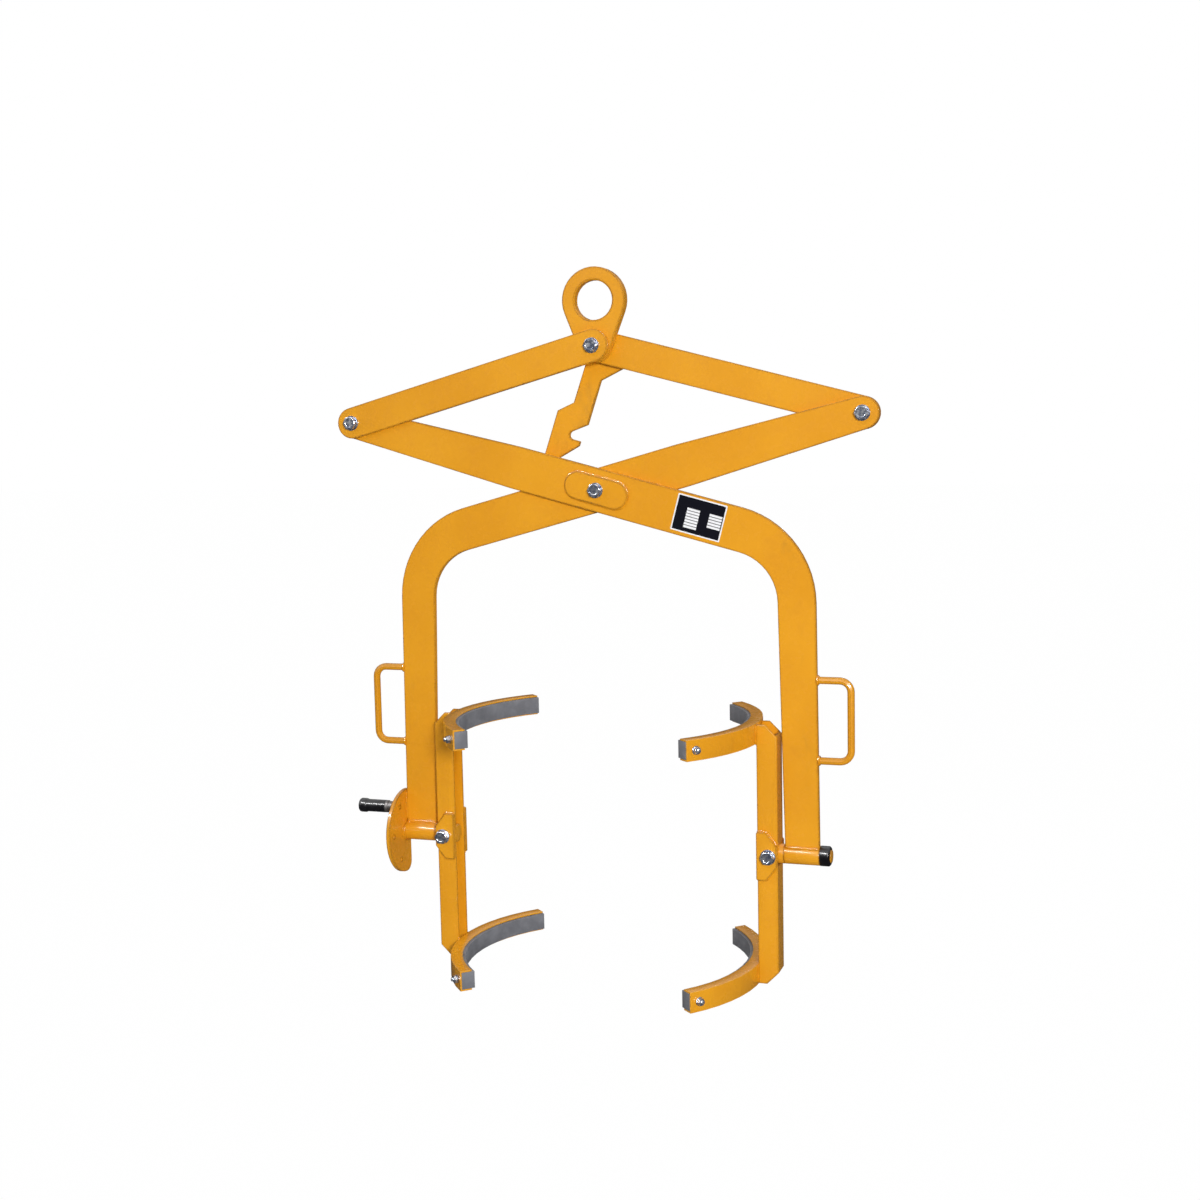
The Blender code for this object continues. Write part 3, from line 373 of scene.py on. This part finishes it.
def phosphated_steel():
    """Dull grey turned steel of the plunger's guide, rubbed brighter in patches."""
    look = Graph(bpy.data.materials.new("phosphated_steel"))
    rubbed = look.speckle(110.0, detail=4.0, roughness=0.6)
    lines = look.speckle(60.0, detail=3.0, stretch=(30.0, 1.0, 1.0))
    colour = look.blend(rubbed.between(0.40, 0.70), (0.115, 0.110, 0.110), (0.255, 0.245, 0.240))
    look.set("Base Color", colour)
    look.set("Metallic", 0.8)
    look.set("Roughness", 0.38 + lines * 0.20)
    look.bump(lines, 0.20, 0.0003)
    return look.owner


def bright_steel():
    """Turned steel with fine tool lines."""
    look = Graph(bpy.data.materials.new("bright_steel"))
    lines = look.speckle(90.0, detail=3.0, stretch=(1.0, 14.0, 14.0))
    look.set("Base Color", look.blend(lines, (0.42, 0.42, 0.43), (0.66, 0.66, 0.67)))
    look.set("Metallic", 1.0)
    look.set("Roughness", 0.24 + lines * 0.16)
    look.bump(lines, 0.15, 0.0003)
    return look.owner


def bearing_bronze():
    """Sintered bronze of the bushes, slightly cloudy."""
    look = Graph(bpy.data.materials.new("bronze"))
    clouds = look.speckle(150.0, detail=3.0)
    look.set("Base Color", look.blend(clouds, (0.45, 0.28, 0.12), (0.66, 0.45, 0.22)))
    look.set("Metallic", 1.0)
    look.set("Roughness", 0.30 + clouds * 0.2)
    return look.owner


def grey_rubber():
    """Moulded friction rubber: dusty grey with fine grain, paler rubbed patches and edges."""
    look = Graph(bpy.data.materials.new("grey_rubber"))
    dust = look.speckle(24.0, detail=4.0, roughness=0.6)
    grain = look.speckle(620.0, detail=3.0, roughness=0.6)
    colour = look.blend(dust.between(0.35, 0.72), (0.140, 0.143, 0.160), (0.200, 0.204, 0.225))
    colour = look.blend(grain.between(0.60, 0.80) * 0.35, colour, (0.080, 0.082, 0.095))
    look.set("Base Color", look.blend(look.edges(0.0014) * 0.60, colour, (0.360, 0.362, 0.370)))
    look.set("Roughness", 0.66 + dust * 0.22)
    look.bump(grain + dust * 0.4, 0.35, 0.0006)
    return look.owner


def black_plastic():
    """Polished black plastic with a little dust and greyer edges."""
    look = Graph(bpy.data.materials.new("black_plastic"))
    grain = look.speckle(700.0, detail=2.0)
    dust = look.speckle(35.0, detail=4.0)
    colour = look.blend(dust.between(0.45, 0.75) * 0.5, (0.004, 0.004, 0.006), (0.018, 0.018, 0.022))
    look.set("Base Color", look.blend(look.edges(0.001) * 0.4, colour, (0.050, 0.050, 0.056)))
    look.set("Roughness", 0.20 + dust * 0.16)
    look.set("Coat Weight", 0.5)
    look.set("Coat Roughness", 0.07)
    look.bump(grain, 0.06, 0.0002)
    return look.owner


def plate_finish(name, tone, roughness):
    """Printed film on the type plate: even tone with faint handling marks."""
    look = Graph(bpy.data.materials.new(name))
    marks = look.speckle(160.0, detail=4.0, roughness=0.7)
    darker = tuple(channel * 0.82 for channel in tone)
    look.set("Base Color", look.blend(marks.between(0.52, 0.80) * 0.6, tone, darker))
    look.set("Roughness", roughness + marks * 0.05)
    look.set("Specular IOR Level", 0.3)
    look.bump(marks, 0.04, 0.0002)
    return look.owner


# Plates and arms: a dark painted shade along the edges, standing in for side faces in shade
PAINT = orange_paint("orange_paint", 0.0048, (0.100, 0.026, 0.002))
# Shoes: a lit copy of the paint, with a bright painted highlight along the edges standing in for the lit end faces
SHOE_PAINT_HIGHLIT_EDGES = orange_paint("shoe_paint_edge_highlight", 0.0016, (0.950, 0.560, 0.110))
WELD = weld_paint()
ZINC = zinc_plate()
PLATE_WHITE = plate_finish("plate_white", (0.80, 0.80, 0.82), 0.35)
PLATE_BLACK = plate_finish("plate_black", (0.007, 0.007, 0.012), 0.07)

FINISHES = {"orange_paint": PAINT, "zinc_plate": ZINC, "grey_rubber": grey_rubber(),
            "black_plastic": black_plastic(), "phosphated_steel": phosphated_steel(),
            "bronze": bearing_bronze(), "bright_steel": bright_steel()}
EASED = ("shoe", "lining", "tube", "shaft", "collar", "grip", "ferrule", "guide", "channel")


def dress_cad_nodes():
    """Give each solid its finish, join its facets' corners and shade round faces smooth."""
    for part in frame["record"]["subparts"]:
        node = frame["nodes"][part["node"]]
        # The shoes take the paint copy with painted highlights on their edges
        finish = SHOE_PAINT_HIGHLIT_EDGES if part["node"].endswith("shoe") else FINISHES[part["material_slot"]]
        node.data.materials.clear()
        node.data.materials.append(finish)
        weld = node.modifiers.new("joined_corners", "WELD")
        weld.merge_threshold = CORNER_JOIN
        if part["node"].endswith(EASED):
            bevel = node.modifiers.new("eased_edges", "BEVEL")
            bevel.width = EDGE_EASE
            bevel.segments = 2
            bevel.limit_method = "ANGLE"
            bevel.angle_limit = math.radians(EASED_CREASE)
            bevel.use_clamp_overlap = True
        node.data.shade_smooth()
        split = node.modifiers.new("crisp_edges", "EDGE_SPLIT")
        split.split_angle = math.radians(SOLID_CREASE)


def finish_piece(name, bm, material, body, crease):
    """Turn a bmesh into a piece that rides on a body."""
    bmesh.ops.recalc_face_normals(bm, faces=bm.faces)
    mesh = bpy.data.meshes.new(name)
    bm.to_mesh(mesh)
    bm.free()
    mesh.materials.append(material)
    mesh.shade_smooth()
    mesh.set_sharp_from_angle(angle=math.radians(crease))
    piece = bpy.data.objects.new(name, mesh)
    bpy.context.scene.collection.objects.link(piece)
    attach(piece, body)
    return piece


def bridge(bm, rings, closed):
    """Skin between rings of points: capped at both ends, or closed on itself."""
    pairs = list(zip(rings, rings[1:]))
    if closed:
        pairs.append((rings[-1], rings[0]))
    for low, high in pairs:
        count = len(low)
        for i in range(count):
            j = (i + 1) % count
            bm.faces.new((low[i], low[j], high[j], high[i]))
    if not closed:
        bm.faces.new(rings[0])
        bm.faces.new(list(reversed(rings[-1])))


def hexagon(across):
    """Radius of a hexagon in each direction, with a corner at zero degrees."""
    def radius(angle):
        return across / 2 / math.cos((angle + 1e-6) % (math.pi / 3) - math.pi / 6)
    return radius


def chamfered(top, way, across):
    """Height of a hexagon's side below its turned chamfer, in each direction."""
    side = hexagon(across)

    def height(angle):
        return top - way * (side(angle) - FACE_SHARE * across) * math.tan(CHAMFER_ANGLE)
    return height


def hexagon_sections(base, top, way, across):
    """Head or nut from its turned collar to its flat face."""
    collar = COLLAR_SHARE * across
    side = hexagon(across)
    return [(base, collar), (base + way * COLLAR_HEIGHT, collar), (base + way * HEXAGON_START, side),
            (chamfered(top, way, across), side), (top, FACE_SHARE * across)]


def turned_mesh(sections, count=BOLT_FACETS, bored=False):
    """Solid of sections along +X; each is (distance, radius), either may depend on the angle."""
    bm = bmesh.new()
    rings = []
    for along, radius in sections:
        loop = []
        for i in range(count):
            angle = 2 * math.pi * i / count
            reach = radius(angle) if callable(radius) else radius
            level = along(angle) if callable(along) else along
            loop.append(bm.verts.new((level, reach * math.cos(angle), reach * math.sin(angle))))
        rings.append(loop)
    bridge(bm, rings, closed=bored)
    return bm


def washer_sections(seat, way, radius, thickness):
    ease = WASHER_EASE * thickness
    return [(seat, radius - ease), (seat + way * ease, radius),
            (seat + way * (thickness - ease), radius), (seat + way * thickness, radius - ease)]


def thread_sections(start, end, radius, pitch):
    """Crests and roots of a thread from the start to the end along the bolt."""
    turns = max(1, round(abs(end - start) / pitch))
    step = (end - start) / turns
    sections = []
    for i in range(turns):
        sections.append((start + i * step, radius - THREAD_DEPTH))
        sections.append((start + (i + 0.5) * step, radius))
    return sections


def stand_for(node, body, bm, placing):
    """Set a turned fastener in its place, where it stands for the plain one."""
    bm.transform(placing)
    piece = finish_piece(node + "_fine", bm, ZINC, body, FASTENER_CREASE)
    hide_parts(node)


def on_pivot(node):
    place = middle(node)
    return Matrix.Translation((place.x, 0.0, place.z)) @ TO_Y


def pivot_bolt(node, body):
    """Hexagon bolt with its washer, head towards the viewer and thread at its far end."""
    low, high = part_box(node)
    under = low.y + HEAD_HEIGHT
    seat = under + WASHER_THICKNESS
    tip = high.y
    sections = [(tip, BOLT_RADIUS - THREAD_END_DROP)]
    sections += thread_sections(tip - THREAD_END_LENGTH, tip - THREAD_LENGTH, BOLT_RADIUS, THREAD_PITCH)
    sections += [(tip - THREAD_LENGTH, BOLT_RADIUS), (seat, BOLT_RADIUS)]
    sections += washer_sections(seat, -1, WASHER_RADIUS, WASHER_THICKNESS)
    sections += hexagon_sections(under, low.y, -1, HEAD_ACROSS)
    sections += [(low.y, DISH_RIM_SHARE * HEAD_ACROSS),
                 (low.y + DISH_DEPTH, DISH_FLOOR_SHARE * HEAD_ACROSS)]
    stand_for(node, body, turned_mesh(sections), on_pivot(node))


def pivot_nut(node, body, washer=WASHER_THICKNESS):
    """Nut with its washer on the far side, countersunk where the bolt comes out."""
    low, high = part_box(node)
    sections = washer_sections(low.y, 1, WASHER_RADIUS, washer) if washer else []
    sections += hexagon_sections(low.y + washer, high.y, 1, HEAD_ACROSS)
    sections += [(high.y, NUT_BORE + NUT_COUNTERSINK), (high.y - NUT_COUNTERSINK_DEPTH, NUT_BORE),
                 (low.y, NUT_BORE)]
    stand_for(node, body, turned_mesh(sections, bored=True), on_pivot(node))


def lining_stud(side, level, end):
    """Nut, washer and stud end that hold a lining to its shoe."""
    way = 1 if side == "right" else -1
    turn = STUD_ANGLE if end == "rear" else -STUD_ANGLE
    heading = turn if way > 0 else math.pi - turn
    shoe = f"{side}_{level}_shoe"
    seat = abs(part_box(shoe)[1 if way > 0 else 0].x) + STUD_WASHER_GAP
    base = seat + STUD_WASHER_THICKNESS
    top = base + STUD_NUT_HEIGHT
    tip = top + STUD_REACH
    sections = [(seat - STUD_DEPTH_IN_SHOE, STUD_RADIUS), (seat, STUD_RADIUS)]
    sections += washer_sections(seat, 1, STUD_WASHER_RADIUS, STUD_WASHER_THICKNESS)
    sections += [(base, COLLAR_SHARE * STUD_NUT_ACROSS),
                 (base + STUD_HEXAGON_START, hexagon(STUD_NUT_ACROSS)),
                 (chamfered(top, 1, STUD_NUT_ACROSS), hexagon(STUD_NUT_ACROSS)),
                 (top, FACE_SHARE * STUD_NUT_ACROSS), (top, STUD_RADIUS + STUD_NUT_EASE)]
    thread = thread_sections(top - STUD_NUT_EASE, tip - STUD_END_LENGTH, STUD_RADIUS, STUD_PITCH)
    sections += [(along, radius + STUD_THREAD_RISE) for along, radius in thread]
    sections.append((tip, STUD_RADIUS - STUD_END_DROP))
    placing = Matrix.Translation((0.0, 0.0, middle(shoe).z)) @ Matrix.Rotation(heading, 4, "Z")
    stand_for(f"{side}_{level}_{end}_screw", side + "_clamp", turned_mesh(sections, STUD_FACETS), placing)


def resample(points, step):
    """Points at even spacing along a broken line."""
    spaced = [points[0]]
    carry = 0.0
    for start, end in zip(points, points[1:]):
        length = (end - start).length
        reach = step - carry
        while reach < length:
            spaced.append(start.lerp(end, reach / length))
            reach += step
        carry = length - (reach - step)
    spaced.append(points[-1])
    return spaced


def bead_radius(radius, point, i, from_end):
    """Radius of a bead at a point: softly rippled, lumpy and thinner near its ends."""
    ripple = 1.0 + RIPPLE_SHARE * math.sin(2 * math.pi * i * BEAD_STEP / RIPPLE_PITCH)
    lumps = LUMP_SHARE * noise.noise(point * LUMP_SCALE)
    grain = GRAIN_SHARE * noise.noise(point * GRAIN_SCALE)
    taper = min(1.0, TAPER_START + from_end * TAPER_STEP)
    return radius * ripple * (1.0 + lumps + grain) * taper


def weld_bead(name, points, body, radius, closed=False):
    """Weld bead along a line of points."""
    points = [Vector(p) for p in points]
    line = resample(points + points[:1] if closed else points, BEAD_STEP)
    if closed:
        line.pop()
    bm = bmesh.new()
    rings = []
    count = len(line)
    for i, point in enumerate(line):
        before = line[i - 1] if closed else line[max(i - 1, 0)]
        after = line[(i + 1) % count] if closed else line[min(i + 1, count - 1)]
        ahead = (after - before).normalized()
        side = (BEAD_LEAN - ahead * BEAD_LEAN.dot(ahead)).normalized()
        up = ahead.cross(side)
        size = bead_radius(radius, point, i, count if closed else min(i, count - 1 - i))
        rings.append([bm.verts.new(point + (side * math.cos(a) + up * math.sin(a)) * size)
                      for a in (2 * math.pi * k / BEAD_SIDES for k in range(BEAD_SIDES))])
    bridge(bm, rings, closed=closed)
    finish_piece(name, bm, WELD, body, BEAD_CREASE)


def ring_points(centre, radius, axis, start=0, sweep=360, count=48):
    """Points on a circle about an axis, from a start angle over a sweep in degrees."""
    points = []
    steps = count if sweep == 360 else count + 1
    for i in range(steps):
        angle = math.radians(start + sweep * i / count)
        a, b = radius * math.cos(angle), radius * math.sin(angle)
        offset = Vector((0.0, a, b)) if axis == "X" else Vector((a, 0.0, b))
        points.append(Vector(centre) + offset)
    return points


def rim(node, face):
    """Outer corners of a convex plate just off the face at this Y, in order round its middle."""
    corners = {tuple(round(value, 5) for value in v.co) for v in frame["nodes"][node].data.vertices}
    levels = sorted({y for x, y, z in corners}, key=lambda y: abs(y - face))
    ring = [Vector(corner) for corner in corners if corner[1] == levels[1]]
    centre = middle(node)
    return sorted(ring, key=lambda c: math.atan2(c.z - centre.z, c.x - centre.x))


def weld_the_doublers():
    """Fillet round each reinforcing plate at the centre pivot."""
    for node, body, way in (("front_doubler", "front_arm", -1), ("rear_doubler", "rear_arm", 1)):
        low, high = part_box(node)
        seat = high.y if way < 0 else low.y
        points = [(c.x, seat + way * BEAD_LIFT, c.z) for c in rim(node, seat)]
        weld_bead(node + "_weld", points, body, PLATE_BEAD, closed=True)


def weld_the_feet():
    """Beads between each leg and its bearing tube."""
    for side, arm, way in (("right", "front_arm", 1), ("left", "rear_arm", -1)):
        tube_low, tube_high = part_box(side + "_bearing_tube")
        arm_low, arm_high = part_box(arm)
        near = min(abs(tube_low.x), abs(tube_high.x)) + FOOT_INSET
        far = max(abs(tube_low.x), abs(tube_high.x)) - FOOT_END_INSET
        for label, face in (("front", arm_low.y), ("rear", arm_high.y)):
            out = math.copysign(FOOT_LIFT, face - middle(arm).y)
            rise = math.sqrt(TUBE_RADIUS ** 2 - min(abs(face), TUBE_RADIUS) ** 2)
            level = SHAFT_LEVEL + rise + TUBE_LIFT
            points = [(way * near, face + out, level), (way * far, face + out, level)]
            weld_bead(f"{side}_foot_{label}_weld", points, arm, FOOT_BEAD)


def weld_the_index_plate():
    """Beads from the index plate to the bearing tube and to both faces of the left leg."""
    plate_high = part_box("index_plate")[1]
    face = plate_high.x
    below = ring_points((face + BEAD_LIFT, 0.0, SHAFT_LEVEL), TUBE_RADIUS + EDGE_LIFT, "X",
                        INDEX_WELD_START, INDEX_WELD_SWEEP)
    weld_bead("index_plate_tube_weld", below, "rear_arm", FOOT_BEAD)
    arm_low, arm_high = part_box("rear_arm")
    seam = face + EDGE_LIFT
    for label, y in (("front", arm_low.y - EDGE_LIFT), ("rear", arm_high.y + EDGE_LIFT)):
        points = [(seam, y, SHAFT_LEVEL + INDEX_SEAM_RISE), (seam, y, plate_high.z - INDEX_SEAM_INSET)]
        weld_bead(f"index_plate_{label}_weld", points, "rear_arm", FORK_BEAD)


def weld_the_forks(side, way):
    """Beads on the sloping ends of a clamp's two fork plates."""
    for layer, sign in (("front", -1), ("rear", 1)):
        node = f"{side}_{layer}_fork"
        low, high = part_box(node)
        seat = high.y if sign < 0 else low.y
        for label, up in (("top", 1), ("bottom", -1)):
            half = [c for c in rim(node, seat) if up * (c.z - SHAFT_LEVEL) > 0]
            half.sort(key=lambda c: way * c.x)
            points = [(c.x, seat + sign * BEAD_LIFT, c.z) for c in half]
            weld_bead(f"{node}_{label}_weld", points, side + "_clamp", FORK_BEAD)


def weld_the_shoes(side, way):
    """Beads along the seats where a clamp's shoes sit on the channel's ends."""
    body = side + "_clamp"
    channel_low, channel_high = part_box(side + "_channel")
    edge = way * (min(abs(channel_low.x), abs(channel_high.x)) - SEAT_SINK)
    for level, up in (("upper", 1), ("lower", -1)):
        shoe_low, shoe_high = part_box(f"{side}_{level}_shoe")
        inner = shoe_low.z if up > 0 else shoe_high.z
        outer = channel_high.z - SEAT_END_INSET if up > 0 else channel_low.z + SEAT_END_INSET
        for label, y in (("front", channel_low.y), ("rear", channel_high.y)):
            points = [(edge, y, inner), (edge, y, outer)]
            weld_bead(f"{side}_{level}_seat_{label}_weld", points, body, SEAT_BEAD)
        below = inner - up * SEAT_LIFT
        points = [(edge, channel_low.y, below), (edge, channel_low.y + SEAT_EDGE_LENGTH, below)]
        weld_bead(f"{side}_{level}_seat_edge_weld", points, body, SEAT_BEAD)


def weld_the_handles():
    """Ring of weld round each foot of the carrying handles."""
    for side, body, way in (("right", "front_arm", 1), ("left", "rear_arm", -1)):
        low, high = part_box(side + "_handle")
        bar = (high.y - low.y) / 2
        layer = middle(side + "_handle").y
        corners = [v.co for v in frame["nodes"][side + "_handle"].data.vertices]
        for label, level in (("top", high.z - bar), ("bottom", low.z + bar)):
            foot = min(way * c.x for c in corners if abs(c.z - level) < 1.5 * bar)
            points = ring_points((way * (foot + EDGE_LIFT), layer, level), bar + HANDLE_LIFT, "X")
            weld_bead(f"{side}_handle_{label}_weld", points, body, HANDLE_BEAD, closed=True)


def weld_the_eye():
    """Ring of weld round the boss on each side of the eye's foot."""
    for label, y in (("front", -EYE_HALF_THICKNESS), ("rear", EYE_HALF_THICKNESS)):
        points = ring_points((TOP_PIVOT.x, y, TOP_PIVOT.z), EYE_BOSS_RADIUS, "Y")
        weld_bead(f"eye_boss_{label}_weld", points, "eye", BOSS_BEAD, closed=True)


def slab(name, width, height, thickness, corner, place, material):
    """Thin plate with rounded corners, in line with the front arm, its back on the plane y = place.y."""
    bm = bmesh.new()
    outline = []
    for sx, sz, start in ((1, 1, 0), (-1, 1, 90), (-1, -1, 180), (1, -1, 270)):
        for k in range(CORNER_STEPS + 1):
            a = math.radians(start + 90 * k / CORNER_STEPS)
            outline.append((sx * (width / 2 - corner) + corner * math.cos(a),
                            sz * (height / 2 - corner) + corner * math.sin(a)))
    ease = min(thickness * PLATE_EASE, corner / 2)
    rings = []
    for depth, shrink in ((0.0, 0.0), (thickness - ease, 0.0), (thickness, ease)):
        rings.append([bm.verts.new((math.copysign(abs(x) - shrink, x), -depth,
                                    math.copysign(abs(z) - shrink, z))) for x, z in outline])
    bridge(bm, rings, closed=False)
    bm.transform(Matrix.Translation(place) @ Matrix.Rotation(ARM_SLOPE, 4, "Y"))
    finish_piece(name, bm, material, "front_arm", PLATE_CREASE)


def type_plate():
    """Blank type plate: white border, black field and empty white boxes."""
    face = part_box("front_arm")[0].y - PLATE_GAP
    beam = Vector((math.cos(ARM_SLOPE), 0.0, -math.sin(ARM_SLOPE)))
    across = Vector((math.sin(ARM_SLOPE), 0.0, math.cos(ARM_SLOPE)))
    centre = CENTRE_PIVOT + beam * PLATE_ALONG_ARM + across * PLATE_ABOVE_MIDDLE

    def at(along, above, lift):
        place = centre + beam * along + across * above
        place.y = face - lift
        return place

    slab("type_plate_border", PLATE_LENGTH, PLATE_HEIGHT, PLATE_THICKNESS, PLATE_CORNER,
         at(0.0, 0.0, 0.0), PLATE_WHITE)
    slab("type_plate_field", PLATE_LENGTH - 2 * PLATE_BORDER, PLATE_HEIGHT - 2 * PLATE_BORDER,
         BOX_THICKNESS, FIELD_CORNER, at(0.0, 0.0, PLATE_THICKNESS), PLATE_BLACK)
    for column, (along, top, rows, width) in enumerate(BOX_COLUMNS):
        for row in range(rows):
            place = at(along, top - row * BOX_PITCH, PLATE_THICKNESS + BOX_THICKNESS)
            slab(f"type_plate_box_{column}_{row}", width, BOX_HEIGHT, BOX_THICKNESS, BOX_CORNER,
                 place, PLATE_WHITE)


def fine_fasteners():
    """Bolts, nuts and lining studs that stand for the plain ones."""
    bodies = frame["record"]["behaviour"]["bodies"]
    body_of = {node: body for body, nodes in bodies.items() for node in nodes}
    for place in ("top", "left", "right", "centre", "left_clamp", "right_clamp"):
        pivot_bolt(place + "_bolt", body_of[place + "_bolt"])
    for place in ("top", "left", "right", "left_clamp", "right_clamp"):
        pivot_nut(place + "_nut", body_of[place + "_nut"])
    pivot_nut("centre_nut", body_of["centre_nut"], washer=0.0)
    for side in ("left", "right"):
        for level in ("upper", "lower"):
            for end in ("front", "rear"):
                lining_stud(side, level, end)


def weld_everything():
    weld_the_doublers()
    weld_the_feet()
    weld_the_index_plate()
    for side, way in (("right", 1), ("left", -1)):
        weld_the_forks(side, way)
        weld_the_shoes(side, way)
    weld_the_handles()
    weld_the_eye()


def make_camera():
    """Camera at the photograph's viewing angle, from its heading, dip and roll."""
    forward = Vector((-math.sin(CAMERA_HEADING) * math.cos(CAMERA_DIP),
                      math.cos(CAMERA_HEADING) * math.cos(CAMERA_DIP), -math.sin(CAMERA_DIP)))
    level = Vector((math.cos(CAMERA_HEADING), math.sin(CAMERA_HEADING), 0.0))
    above = level.cross(forward)
    right = level * math.cos(CAMERA_ROLL) + above * math.sin(CAMERA_ROLL)
    up = right.cross(forward)
    data = bpy.data.cameras.new("view")
    data.lens = CAMERA_LENS
    data.sensor_width = 36.0
    data.clip_start = 0.05
    data.clip_end = 200.0
    camera = bpy.data.objects.new("view", data)
    turn = Matrix((right, up, -forward)).transposed().to_4x4()
    camera.matrix_world = Matrix.Translation(CAMERA_PLACE) @ turn
    bpy.context.scene.collection.objects.link(camera)
    bpy.context.scene.camera = camera


def make_world():
    """White to the camera, a plain level for lighting, and darker below than above in reflections."""
    world = bpy.data.worlds.new("studio")
    bpy.context.scene.world = world
    look = Graph(world)
    background = look.nodes["Background"]
    background.inputs["Color"].default_value = (1.0, 1.0, 1.0, 1.0)
    way = look.node("ShaderNodeTexCoord", output="Generated")
    height = look.node("ShaderNodeSeparateXYZ", None, [way], output="Z")
    mirrored = height.between(0.15, 0.80, 0.045, 1.05)
    glossy = look.node("ShaderNodeLightPath", output="Is Glossy Ray")
    seen = look.node("ShaderNodeLightPath", output="Is Camera Ray")
    strength = look.choose(seen, look.choose(glossy, WORLD_LEVEL, mirrored), 1.0)
    look.plug(background.inputs["Strength"], strength)


def make_floor():
    """Pale floor, near white to the camera and left out of reflections."""
    bm = bmesh.new()
    bmesh.ops.create_grid(bm, x_segments=4, y_segments=4, size=FLOOR_SIZE)
    mesh = bpy.data.meshes.new("floor")
    bm.to_mesh(mesh)
    bm.free()
    floor = bpy.data.objects.new("floor", mesh)
    floor.location.z = cad_box[0].z - FLOOR_DROP
    bpy.context.scene.collection.objects.link(floor)
    look = Graph(bpy.data.materials.new("pale_floor"))
    look.set("Base Color", (FLOOR_TONE, FLOOR_TONE, FLOOR_TONE, 1.0))
    look.set("Roughness", 0.9)
    seen = look.node("ShaderNodeLightPath", output="Is Camera Ray")
    lit = Value(look, look.shader.outputs["BSDF"])
    glow = look.node("ShaderNodeEmission")
    surface = look.node("ShaderNodeMixShader", None, [seen * FLOOR_GLOW, lit, glow])
    look.plug(look.nodes["Material Output"].inputs["Surface"], surface)
    floor.data.materials.append(look.owner)
    floor.visible_glossy = False


def make_lamp(name, place, size, power, width=None):
    """Round lamp aimed at the lifter, or a strip this wide."""
    data = bpy.data.lights.new(name, "AREA")
    data.shape = "RECTANGLE" if width else "DISK"
    data.size = width or size
    if width:
        data.size_y = size
    data.energy = power
    lamp = bpy.data.objects.new(name, data)
    lamp.location = place
    lamp.rotation_mode = "QUATERNION"
    lamp.rotation_quaternion = (LAMP_TARGET - Vector(place)).to_track_quat("-Z", "Y")
    bpy.context.scene.collection.objects.link(lamp)
    return lamp


def light_the_stage():
    """Key and fill in front, two lamps behind that aren't mirrored, and a strip for reflections only."""
    make_lamp("key", (2.5, -4.9, 0.5), size=1.1, power=238.0)
    make_lamp("fill", (-3.2, -2.2, 0.3), size=2.0, power=12.0)
    make_lamp("back", (0.8, 2.6, 3.0), size=2.0, power=22.0).visible_glossy = False
    make_lamp("rear", (0.1, 4.6, 0.2), size=1.6, power=110.0).visible_glossy = False
    make_lamp("strip", (-1.3, -2.6, 1.65), size=0.2, power=220.0, width=4.2).visible_diffuse = False


dress_cad_nodes()
fine_fasteners()
weld_everything()
type_plate()
make_camera()
make_world()
make_floor()
light_the_stage()
bpy.context.scene.view_settings.view_transform = "Standard"
